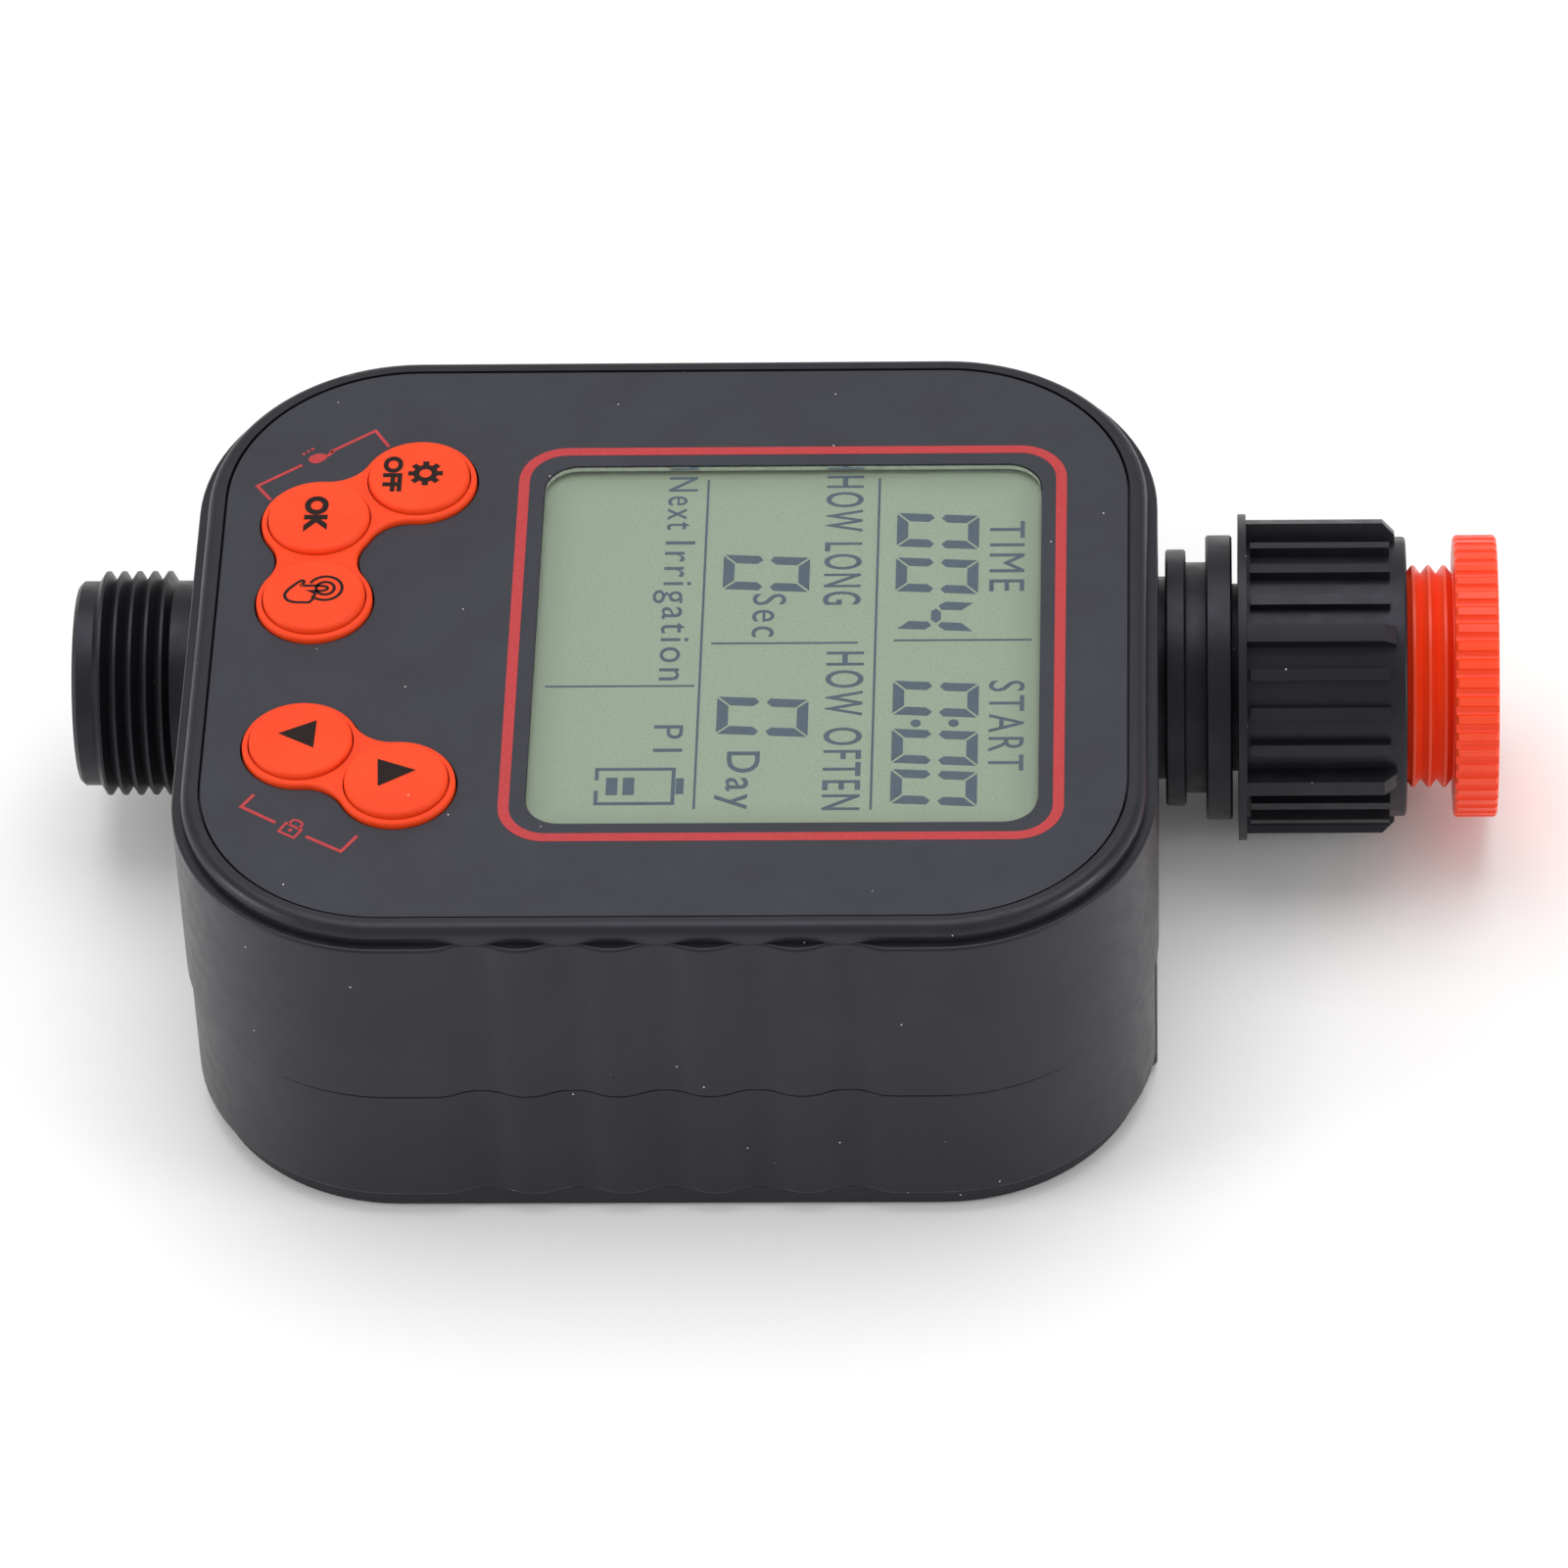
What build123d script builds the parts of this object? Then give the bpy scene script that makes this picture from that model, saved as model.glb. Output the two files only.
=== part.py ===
from build123d import *
import math
import os

# Drip irrigation timer: a battery timer that turns a ball valve with a small geared motor.
# Frame: the timer lies on its back. +Z leaves the face, +X runs along the pipe towards the
# inlet, +Y is the side the pipe is offset to. The origin is the middle of the back face.

os.makedirs("parts", exist_ok=True)

# --- Housing ------------------------------------------------------------------------------
HALF_LENGTH = 55.8
HALF_WIDTH = 48.3
CORNER_RADIUS = 24.8
HEIGHT = 45.6
SPLIT_Z = 19.6
SPLIT_GAP = 0.4
SPLIT_EDGE = 0.2
SHOULDER_EDGE = 0.4
BASE_EDGE = 0.4
BACK_INSET = 0.36
WALL = 3.4
FLOOR = 2.4
BASE_HEIGHT = 3.2
BASE_INSET = 1.6
SHOULDER_Z = 43.4
RIM_INSET = 1.15
RIM_RADIUS = 1.3
PLATE_INSET = 3.45
PLATE_GAP = 0.3
PLATE_THICKNESS = 1.4
DECK_TOP = HEIGHT - PLATE_THICKNESS
DECK_BOTTOM = DECK_TOP - 2.0
TONGUE_TOP = SPLIT_Z + 1.8
TONGUE_THICKNESS = 1.0
TONGUE_ROOT = SPLIT_Z - 4

# Finger grooves along both long sides
GROOVES = 5
GROOVE_PITCH = 10.4
GROOVE_DEPTH = 1.1

# Bosses for the housing screws
BOSS_X = 44.3
BOSS_Y = 37.0
BOSS_RADIUS = 3.6
SCREW_RADIUS = 1.35
SCREW_HEAD_RADIUS = 2.8
COUNTERBORE_RADIUS = 3.2
COUNTERBORE_DEPTH = 2.6
SCREW_HOLE_DEPTH = 14
SCREW_LENGTH = 28
SCREW_HEAD_LEVEL = 0.4
CROSS_SLOT = (3.0, 0.7, 1.1)

# --- Display ------------------------------------------------------------------------------
WINDOW_X = 13.45
WINDOW_Y = -0.8
WINDOW_LENGTH = 57.9
WINDOW_WIDTH = 59.0
WINDOW_CORNER = 4.0
GLASS_BORDER = 1.5
LCD_TOP = 43.4
LCD_BOTTOM = 41.0

# --- Keys ---------------------------------------------------------------------------------
KEY_PLACES = {
    "key_off": (-30.1, 25.8),
    "key_ok": (-41.4, 19.1),
    "key_manual": (-41.2, 5.9),
    "key_down": (-41.3, -17.8),
    "key_up": (-30.1, -24.2),
}
UPPER_KEYS = ("key_off", "key_ok", "key_manual")
LOWER_KEYS = ("key_down", "key_up")
KEY_RADIUS = 5.9
KEY_CLEARANCE = 0.15
KEY_TOP = 47.0
KEY_BOTTOM = 43.0
LOBE_RADIUS = 6.7
WEB_FILLET = 5.0
WEB_TOP = 46.2
WEB_FLANGE = 1.8
WEB_FLANGE_THICKNESS = 0.9

# --- Circuit board ------------------------------------------------------------------------
BOARD_BOTTOM = 36.4
BOARD_TOP = 38.0
BOARD_LENGTH = 100.0
BOARD_WIDTH = 75.0
BOARD_POSTS = ((48.0, -22.8), (48.0, 21.2), (-46.0, -6.0), (-22.0, -34.8), (-22.0, 34.2))
POST_RADIUS = 1.9
POST_HOLE_DEPTH = 3.5

# --- Water way ----------------------------------------------------------------------------
PIPE_Y = 19.45
PIPE_Z = 19.6
PIPE_RADIUS = 12.1
PIPE_BORE = 8.8
OUTLET_END = -71.2
THREAD_PITCH = 1.814
G34_CREST = 13.22
G34_ROOT = 12.06
REDUCER_CREST = 13.02
G12_CREST = 9.32
G12_ROOT = 10.48
CREST_FLAT = 0.32
OUTLET_FIRST_CREST = -67.9
OUTLET_CRESTS = 5
CHAMBER_RADIUS = 9.6
CHAMBER_OUTER = 12.7
CHAMBER_START = -10.4
CHAMBER_END = 13.0
BALL_RADIUS = 9.3
BALL_BORE = 5.5
STEM_RADIUS = 3.0
STEM_TOP = 36.1
TONGUE_WIDTH = 2.4
BOSS_TOP = 33.1
SHELL_HOLE_CLEARANCE = 0.2
SHELL_HOLE_DEPTH = 30
CRADLE_PLACES = (-30, 30)
CRADLE_SIZE = (2.4, 26)
CRADLE_TOP = 13.6

# --- Inlet spigot: plug in the valve body, neck, two collars and the nose inside the nut ---
PLUG_START = 10.4
PLUG_RADIUS = 9.5
PLUG_GROOVE = (11.0, 12.4)
PLUG_GROOVE_RADIUS = 8.1
SPIGOT_FLANGE_END = 16.0
SPIGOT_NECK = 11.9
FIRST_COLLAR = (56.6, 59.0)
FIRST_COLLAR_RADIUS = 15.05
WAIST_RADIUS = 13.55
SECOND_COLLAR = (61.3, 64.4)
SECOND_COLLAR_RADIUS = 16.7
COLLAR_EDGE = 0.25
NOSE_RADIUS = 11.0
NOSE_GROOVE = (68.4, 70.1)
NOSE_GROOVE_RADIUS = 10.2
SPIGOT_END = 70.5
INNER_RIM_RADIUS = 12.7

# --- Swivel nut and adapter ---------------------------------------------------------------
NUT_START = 65.1
NUT_END = 84.7
NUT_CORE = 16.4
NUT_FLANGE = 19.15
NUT_BORE = 13.5
NUT_REAR_HOLE = 11.25
NUT_WALL_END = 68.2
NUT_FLANGE_THICKNESS = 0.95
NUT_POSITIONS = 24
RIB_START = 66.5
RIB_END = 82.7
RIB_WIDTH = 1.4
RIB_TOP = 17.6
LUG_END = 83.4
LUG_WIDTH = 2.1
LUG_TOP = 18.75
LUG_BEVEL = 1.5
ADAPTER_START = 73.1
ADAPTER_RING_START = 90.3
ADAPTER_END = 95.3
ADAPTER_RING_RADIUS = 16.55
ADAPTER_RING_EDGE = 0.3
ADAPTER_NOTCHES = 48
NOTCH_RADIUS = 0.62
ADAPTER_CRESTS = 9
ADAPTER_BORE = 7.0
SOCKET_FIRST_CREST = 94.0
SOCKET_CRESTS = 6
SOCKET_FLOOR = 78.2

# --- Gear train ---------------------------------------------------------------------------
MODULE = 0.5
PRESSURE_ANGLE = math.radians(20)
TOOTH_THINNING = 0.16
OUTPUT_TEETH = 60
PINION_TEETH = 12
WHEEL_TWO_TEETH = 36
WHEEL_ONE_TEETH = 40
MOTOR_TEETH = 10
AXIS_TWO = (-8.0, PIPE_Y - 16.125)
AXIS_ONE = (AXIS_TWO[0] - 8.0, AXIS_TWO[1] - 8.944)
AXIS_MOTOR = (AXIS_ONE[0] - 10.0, AXIS_ONE[1] - 7.5)
OUTPUT_GEAR_Z = (33.3, 35.2)
PINION_TWO_Z = (32.75, 35.25)
WHEEL_TWO_Z = (31.1, 32.7)
PINION_ONE_Z = (30.45, 32.9)
WHEEL_ONE_Z = (28.6, 30.4)
MOTOR_PINION_Z = (28.4, 30.6)
PLATE_Z = (27.4, 28.3)
COVER_Z = (35.45, 36.2)
PIN_RADIUS = 0.75
MOTOR_RADIUS = 10.0
MOTOR_FLAT_SIZE = (15.1, 22.0)
MOTOR_NECK = (2.9, 0.85)
MOTOR_SHAFT_RADIUS = 1.0
MOTOR_SHAFT_Z = (24.0, 31.2)
GEAR_POST_RADIUS = 1.4
MOUNT_POST_RADIUS = 2.3
MOUNT_SCREW_RADIUS = 1.05
MOUNT_SCREW_HEAD = (2.1, 1.5)
MOUNT_SCREW_LENGTH = 9.0

# --- Battery drawer -----------------------------------------------------------------------
DRAWER_Y = -12.8
BAY_Z = 3.0
BAY_TOP = 18.0
BAY_WIDTH = 24.4
CELL_RADIUS = 5.25
CELL_LENGTH = 44.5
CELL_START = 6.0
CELL_SPACING = 11.3
CELL_Z = 10.3
END_PLATE_X = 53.5
END_PLATE_THICKNESS = 2.0
END_PLATE_WIDTH = 26.2
END_PLATE_HEIGHT = 18.9
DRAWER_STEP_X = 51.4
DRAWER_STEP = (22.8, 13.4)
TRAY_START = 3.2
TRAY_SIZE = (24.0, 7.4)
TRAY_BOTTOM = 3.7
TRAY_NOTCH_RADIUS = 3.4
CELL_BUTTON = (1.9, 0.8)
JUMPER_SIZE = (20.0, 8.8)
JUMPER_THICKNESS = 0.3
DRAWER_SEAL = (51.9, 1.3)
SLEEVE_START = 1.0
SLEEVE_END = 50.9
SLEEVE_WALL = 1.1
CONTACT_SIZE = (8.0, 9.0)
CONTACT_THICKNESS = 0.4
SPRING_RADIUS = 2.6
SPRING_BORE = 2.0
SPRING_LENGTH = 3.1

# --- Circuit board's components ----------------------------------------------------------
SWITCH_SIDE = 6.0
SWITCH_HEIGHT = 3.1
SWITCH_BUTTON_RADIUS = 1.7
SWITCH_BUTTON_HEIGHT = 0.85
CHIP_HEIGHT = 1.5
CONTROLLER_PLACE = (26, -9)
CONTROLLER_SIDE = 12
DRIVER_PLACES = ((8, -15), (40, -15))
RESISTOR_PLACES = ((-36, -24), (-32, -30))
CAPACITOR_PLACES = ((14, -31), (22, -31))
CAPACITOR_RADIUS = 3.15
CAPACITOR_HEIGHT = 8.0
BUZZER_PLACE = (34, -30)
BUZZER_RADIUS = 5.0
BUZZER_HEIGHT = 5.5
SOCKET_PLACES = ((-38, 14), (28, 12))
SOCKET_HEIGHT = 4.0
BOARD_SCREW_RADIUS = 0.8
BOARD_SCREW_HEAD = 1.7
BOARD_SCREW_HEAD_HEIGHT = 1.2

PIPE_AXIS = Axis((0, PIPE_Y, PIPE_Z), (1, 0, 0))
PIPE_SECTION = Plane(origin=(0, PIPE_Y, PIPE_Z), x_dir=(1, 0, 0), z_dir=(0, -1, 0))


def across_pipe(x):
    """Plane square to the pipe at x, with its own X along +Y and its own Y along +Z."""
    return Plane(origin=(x, PIPE_Y, PIPE_Z), x_dir=(0, 1, 0), z_dir=(1, 0, 0))


def save(part, name):
    """Label a finished piece and write it as its own STEP file."""
    part.label = name
    export_step(part, f"parts/{name}.step")


def plain_outline(inset):
    """Housing plan without grooves, drawn inside the widest outline by inset."""
    with BuildSketch(mode=Mode.PRIVATE) as outline:
        length = 2 * (HALF_LENGTH - inset)
        width = 2 * (HALF_WIDTH - inset)
        RectangleRounded(length, width, CORNER_RADIUS - inset)
    return outline.sketch


def grooved_outline(inset):
    """Housing plan with the wave of finger grooves along both long sides, all in tangent arcs."""
    side = HALF_WIDTH - inset
    end = HALF_LENGTH - inset
    radius = CORNER_RADIUS - inset
    half_run = GROOVES * GROOVE_PITCH / 2
    quarter = GROOVE_PITCH / 4
    halfway = side - GROOVE_DEPTH / 2
    with BuildSketch(mode=Mode.PRIVATE) as outline:
        with BuildLine():
            for flank in (-1, 1):
                for bend in range(2 * GROOVES - 1):
                    middle = (bend + 1 - GROOVES) * GROOVE_PITCH / 2
                    top = side if bend % 2 else side - GROOVE_DEPTH
                    start = (middle - quarter, flank * halfway)
                    ThreePointArc(start, (middle, flank * top), (middle + quarter, flank * halfway))
                for way in (-1, 1):
                    run_out = (way * half_run, flank * side)
                    first_turn = (way * (half_run - quarter), flank * halfway)
                    TangentArc(run_out, first_turn, tangent=(-way, 0))
                    Line(run_out, (way * (end - radius), flank * side))
                    centre = (way * (end - radius), flank * (side - radius))
                    CenterArc(centre, radius, math.degrees(math.atan2(flank, way)) - 45, 90)
            for way in (-1, 1):
                Line((way * end, radius - side), (way * end, side - radius))
        make_face()
    return outline.sketch


def grooved_block(inset, bottom, top, bottom_edge, top_edge):
    """Grooved block between two levels with its outer edges rounded."""
    with BuildPart(mode=Mode.PRIVATE) as block:
        with BuildSketch(Plane.XY.offset(bottom)):
            add(grooved_outline(inset))
        extrude(amount=top - bottom)
        fillet(block.faces().sort_by(Axis.Z)[-1].edges(), top_edge)
        fillet(block.faces().sort_by(Axis.Z)[0].edges(), bottom_edge)
    return block.part


def key_island(keys, growth):
    """Plan of one group of key lobes joined by concave webs, grown by growth."""
    with BuildSketch(mode=Mode.PRIVATE) as island:
        with Locations(*[KEY_PLACES[key] for key in keys]):
            Circle(LOBE_RADIUS)
        offset(amount=WEB_FILLET, kind=Kind.ARC)
        offset(amount=growth - WEB_FILLET, kind=Kind.ARC)
    return island.sketch


def window_outline(growth):
    """Display opening, grown by growth on every side."""
    with BuildSketch(mode=Mode.PRIVATE) as outline:
        with Locations((WINDOW_X, WINDOW_Y)):
            length = WINDOW_LENGTH + 2 * growth
            RectangleRounded(length, WINDOW_WIDTH + 2 * growth, WINDOW_CORNER + growth / 2)
    return outline.sketch


def thread_profile(first, count, step, root, crest):
    """Points of a row of V ridges along a thread, each with a narrow flat crest."""
    points = []
    for ridge in range(count):
        middle = first + ridge * step
        points += [(middle - step / 2, root), (middle - CREST_FLAT / 2 * math.copysign(1, step), crest)]
        points += [(middle + CREST_FLAT / 2 * math.copysign(1, step), crest)]
    points.append((first + (count - 0.5) * step, root))
    return points


def turned(points):
    """Solid of revolution about the pipe's axis from (x, radius) points."""
    with BuildPart(mode=Mode.PRIVATE) as body:
        with BuildSketch(PIPE_SECTION):
            with BuildLine():
                Polyline(*points, close=True)
            make_face()
        revolve(axis=PIPE_AXIS)
    return body.part


def tooth_half_angle(radius, teeth):
    """Half the angle that an involute tooth spans at radius."""
    pitch_radius = MODULE * teeth / 2
    base = pitch_radius * math.cos(PRESSURE_ANGLE)
    slope = math.acos(min(1, base / max(radius, base)))
    half = (math.pi / 2 - TOOTH_THINNING / MODULE) / teeth
    half += math.tan(PRESSURE_ANGLE) - PRESSURE_ANGLE
    return half - (math.tan(slope) - slope)


def spur_gear(teeth, start_angle, bore):
    """Plan of a spur gear with one tooth centred at start_angle."""
    pitch_radius = MODULE * teeth / 2
    root = pitch_radius - 1.25 * MODULE
    tip = pitch_radius + 0.9 * MODULE
    flank = []
    for radius in (root - 0.1, root + 0.3 * (tip - root), pitch_radius, (pitch_radius + tip) / 2, tip):
        angle = tooth_half_angle(radius, teeth)
        flank.append((radius * math.cos(angle), radius * math.sin(angle)))
    other_flank = [(x, -y) for x, y in reversed(flank)]
    with BuildSketch(mode=Mode.PRIVATE) as gear:
        Circle(root)
        with PolarLocations(0, teeth, start_angle=math.degrees(start_angle)):
            Polygon(*flank, *other_flank, align=None)
        Circle(bore, mode=Mode.SUBTRACT)
    return gear.sketch


def direction(start, end):
    return math.atan2(end[1] - start[1], end[0] - start[0])


def gear_solid(teeth, start_angle, bore, place, levels):
    """Spur gear between two levels, on a vertical axis at place."""
    with BuildPart(mode=Mode.PRIVATE) as gear:
        with BuildSketch(Plane(origin=(place[0], place[1], levels[0]))):
            add(spur_gear(teeth, start_angle, bore))
        extrude(amount=levels[1] - levels[0])
    return gear.part


BOSS_PLACES = [(x, y) for x in (-BOSS_X, BOSS_X) for y in (-BOSS_Y, BOSS_Y)]

# --- Front shell --------------------------------------------------------------------------
with BuildPart() as front_shell:
    with BuildSketch(Plane.XY.offset(SPLIT_Z + SPLIT_GAP / 2)):
        add(plain_outline(RIM_INSET))
    extrude(amount=HEIGHT - SPLIT_Z - SPLIT_GAP / 2)
    fillet(front_shell.faces().sort_by(Axis.Z)[-1].outer_wire().edges(), RIM_RADIUS)
    add(grooved_block(0, SPLIT_Z + SPLIT_GAP / 2, SHOULDER_Z, SPLIT_EDGE, SHOULDER_EDGE))
    with BuildSketch(Plane.XY.offset(SPLIT_Z)):
        add(plain_outline(WALL))
    extrude(amount=DECK_BOTTOM - SPLIT_Z, mode=Mode.SUBTRACT)
    with BuildSketch(Plane.XY.offset(DECK_TOP)):
        add(plain_outline(PLATE_INSET - PLATE_GAP))
    extrude(amount=PLATE_THICKNESS, mode=Mode.SUBTRACT)
    with BuildSketch(Plane.XY.offset(DECK_BOTTOM)):
        add(window_outline(GLASS_BORDER + 0.3))
        add(key_island(UPPER_KEYS, 0.3))
        add(key_island(LOWER_KEYS, 0.3))
    extrude(amount=DECK_TOP - DECK_BOTTOM, mode=Mode.SUBTRACT)
    with BuildSketch(Plane.XY.offset(SPLIT_Z + SPLIT_GAP / 2)):
        with Locations(*BOSS_PLACES):
            Circle(BOSS_RADIUS - 0.3)
    extrude(amount=DECK_BOTTOM - SPLIT_Z - SPLIT_GAP / 2)
    with BuildSketch(Plane.XY.offset(BOARD_TOP)):
        with Locations(*BOARD_POSTS):
            Circle(POST_RADIUS)
    extrude(amount=DECK_BOTTOM - BOARD_TOP)
    with BuildSketch(Plane.XY.offset(BOARD_TOP)):
        with Locations(*BOARD_POSTS):
            Circle(BOARD_SCREW_RADIUS + 0.05)
    extrude(amount=POST_HOLE_DEPTH, mode=Mode.SUBTRACT)
    with BuildSketch(Plane.XY.offset(SPLIT_Z)):
        with Locations(*BOSS_PLACES):
            Circle(SCREW_RADIUS + 0.05)
    extrude(amount=SCREW_HOLE_DEPTH, mode=Mode.SUBTRACT)
    with BuildSketch(across_pipe(-HALF_LENGTH - 2)):
        Circle(PIPE_RADIUS + SHELL_HOLE_CLEARANCE)
    extrude(amount=SHELL_HOLE_DEPTH, mode=Mode.SUBTRACT)
    with BuildSketch(across_pipe(HALF_LENGTH + 2)):
        Circle(SPIGOT_NECK + SHELL_HOLE_CLEARANCE)
    extrude(amount=-SHELL_HOLE_DEPTH, mode=Mode.SUBTRACT)
save(front_shell.part, "front_shell")

# --- Back shell ---------------------------------------------------------------------------
REBATE_X = END_PLATE_X - 0.1
with BuildPart() as back_shell:
    with BuildSketch():
        add(plain_outline(BASE_INSET))
    extrude(amount=BASE_HEIGHT)
    chamfer(back_shell.faces().sort_by(Axis.Z)[0].outer_wire().edges(), 0.5)
    add(grooved_block(BACK_INSET, BASE_HEIGHT, SPLIT_Z - SPLIT_GAP / 2, BASE_EDGE, SPLIT_EDGE))
    with BuildSketch(Plane.XY.offset(TONGUE_ROOT)):
        add(plain_outline(WALL + 0.1))
    extrude(amount=TONGUE_TOP - TONGUE_ROOT)
    with BuildSketch(Plane.XY.offset(FLOOR)):
        add(plain_outline(WALL))
    extrude(amount=TONGUE_ROOT - FLOOR, mode=Mode.SUBTRACT)
    with BuildSketch(Plane.XY.offset(TONGUE_ROOT - 1)):
        add(plain_outline(WALL + 0.1 + TONGUE_THICKNESS))
    extrude(amount=TONGUE_TOP - TONGUE_ROOT + 1, mode=Mode.SUBTRACT)
    with BuildSketch(Plane.XY.offset(FLOOR - 0.4)):
        with Locations(*BOSS_PLACES):
            Circle(BOSS_RADIUS + 0.8)
    extrude(amount=3)
    with BuildSketch(Plane.XY.offset(FLOOR)):
        with Locations(*BOSS_PLACES):
            Circle(BOSS_RADIUS)
    extrude(amount=SPLIT_Z + SPLIT_GAP / 2 - FLOOR)
    with BuildSketch(Plane.XY.offset(SPLIT_Z + SPLIT_GAP / 2)):
        with Locations(*BOSS_PLACES):
            Circle(BOSS_RADIUS)
    extrude(amount=HEIGHT, mode=Mode.SUBTRACT)
    with BuildSketch(Plane.XY.offset(FLOOR)):
        with Locations(*[(cradle_x, PIPE_Y) for cradle_x in CRADLE_PLACES]):
            Rectangle(*CRADLE_SIZE)
    extrude(amount=CRADLE_TOP - FLOOR)
    with BuildSketch(across_pipe(-HALF_LENGTH - 2)):
        Circle(PIPE_RADIUS + SHELL_HOLE_CLEARANCE)
    extrude(amount=SHELL_HOLE_DEPTH, mode=Mode.SUBTRACT)
    with BuildSketch(across_pipe(HALF_LENGTH + 2)):
        Circle(SPIGOT_NECK + SHELL_HOLE_CLEARANCE)
    extrude(amount=-SHELL_HOLE_DEPTH, mode=Mode.SUBTRACT)
    with BuildSketch():
        with Locations(*BOSS_PLACES):
            Circle(COUNTERBORE_RADIUS)
    extrude(amount=COUNTERBORE_DEPTH, mode=Mode.SUBTRACT)
    with BuildSketch():
        with Locations(*BOSS_PLACES):
            Circle(SCREW_RADIUS + 0.3)
    extrude(amount=HEIGHT, mode=Mode.SUBTRACT)
    with BuildSketch(Plane.YZ.offset(REBATE_X)):
        with Locations((DRAWER_Y, SPLIT_Z / 2 - 0.1)):
            Rectangle(END_PLATE_WIDTH + 0.3, SPLIT_Z)
    extrude(amount=5, mode=Mode.SUBTRACT)
    with BuildSketch(Plane.YZ.offset(REBATE_X - 5)):
        with Locations((DRAWER_Y, (BAY_Z + BAY_TOP) / 2)):
            Rectangle(BAY_WIDTH, BAY_TOP - BAY_Z)
    extrude(amount=10, mode=Mode.SUBTRACT)
save(back_shell.part, "back_shell")

# --- Seal and screws between the shells ---------------------------------------------------
SEAL_INSET = 1.7
SEAL_WIDTH = 0.5
with BuildPart() as shell_seal:
    with BuildSketch(Plane.XY.offset(SPLIT_Z - SPLIT_GAP / 2)):
        add(plain_outline(SEAL_INSET))
        add(plain_outline(SEAL_INSET + SEAL_WIDTH), mode=Mode.SUBTRACT)
    extrude(amount=SPLIT_GAP)
    with BuildSketch(across_pipe(-HALF_LENGTH)):
        Circle(PIPE_RADIUS + SHELL_HOLE_CLEARANCE)
    extrude(amount=2 * HALF_LENGTH, mode=Mode.SUBTRACT)
save(shell_seal.part, "shell_seal")

with BuildPart() as shell_screws:
    with BuildSketch(Plane.XY.offset(SCREW_HEAD_LEVEL)):
        with Locations(*BOSS_PLACES):
            Circle(SCREW_HEAD_RADIUS)
    extrude(amount=COUNTERBORE_DEPTH - SCREW_HEAD_LEVEL)
    with BuildSketch(Plane.XY.offset(SCREW_HEAD_LEVEL)):
        with Locations(*BOSS_PLACES):
            Rectangle(CROSS_SLOT[0], CROSS_SLOT[1])
            Rectangle(CROSS_SLOT[1], CROSS_SLOT[0])
    extrude(amount=CROSS_SLOT[2], mode=Mode.SUBTRACT)
    with BuildSketch(Plane.XY.offset(COUNTERBORE_DEPTH)):
        with Locations(*BOSS_PLACES):
            Circle(SCREW_RADIUS)
    extrude(amount=SCREW_LENGTH)
save(shell_screws.part, "shell_screws")

# --- Face plate and display ---------------------------------------------------------------
with BuildPart() as face_plate:
    with BuildSketch(Plane.XY.offset(DECK_TOP)):
        add(plain_outline(PLATE_INSET))
        add(window_outline(0), mode=Mode.SUBTRACT)
        add(key_island(UPPER_KEYS, 0.25), mode=Mode.SUBTRACT)
        add(key_island(LOWER_KEYS, 0.25), mode=Mode.SUBTRACT)
    extrude(amount=PLATE_THICKNESS - 0.1)
save(face_plate.part, "face_plate")

with BuildPart() as display_window:
    with BuildSketch(Plane.XY.offset(LCD_TOP + 0.1)):
        add(window_outline(GLASS_BORDER - 0.1))
    extrude(amount=DECK_TOP - LCD_TOP - 0.1)
    with BuildSketch(Plane.XY.offset(DECK_TOP)):
        add(window_outline(-0.1))
    extrude(amount=PLATE_THICKNESS - 0.3)
save(display_window.part, "display_window")

with BuildPart() as lcd_panel:
    with BuildSketch(Plane.XY.offset(LCD_BOTTOM)):
        add(window_outline(GLASS_BORDER))
    extrude(amount=LCD_TOP - LCD_BOTTOM)
save(lcd_panel.part, "lcd_panel")

with BuildPart() as lcd_holder:
    with BuildSketch(Plane.XY.offset(BOARD_TOP)):
        add(window_outline(GLASS_BORDER))
        add(window_outline(GLASS_BORDER - 1.6), mode=Mode.SUBTRACT)
    extrude(amount=LCD_BOTTOM - BOARD_TOP)
save(lcd_holder.part, "lcd_holder")

STRIP_Y = WINDOW_WIDTH / 2 - 1.6
with BuildPart() as contact_strips:
    with BuildSketch(Plane.XY.offset(BOARD_TOP)):
        with Locations((WINDOW_X, WINDOW_Y - STRIP_Y), (WINDOW_X, WINDOW_Y + STRIP_Y)):
            Rectangle(WINDOW_LENGTH - 6, 2.2)
    extrude(amount=LCD_BOTTOM - BOARD_TOP)
save(contact_strips.part, "contact_strips")

# --- Keypad -------------------------------------------------------------------------------
for pad_name, pad_keys in (("upper_keypad", UPPER_KEYS), ("lower_keypad", LOWER_KEYS)):
    with BuildPart() as keypad:
        with BuildSketch(Plane.XY.offset(DECK_BOTTOM - WEB_FLANGE_THICKNESS)):
            add(key_island(pad_keys, WEB_FLANGE))
        extrude(amount=WEB_FLANGE_THICKNESS - 0.05)
        with BuildSketch(Plane.XY.offset(DECK_BOTTOM - WEB_FLANGE_THICKNESS)):
            add(key_island(pad_keys, 0))
        extrude(amount=WEB_TOP - DECK_BOTTOM + WEB_FLANGE_THICKNESS)
        fillet(keypad.faces().sort_by(Axis.Z)[-1].outer_wire().edges(), 0.45)
        with BuildSketch(Plane.XY.offset(DECK_BOTTOM - WEB_FLANGE_THICKNESS)):
            with Locations(*[KEY_PLACES[key] for key in pad_keys]):
                Circle(KEY_RADIUS + KEY_CLEARANCE)
        extrude(amount=HEIGHT, mode=Mode.SUBTRACT)
    save(keypad.part, pad_name)

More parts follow.
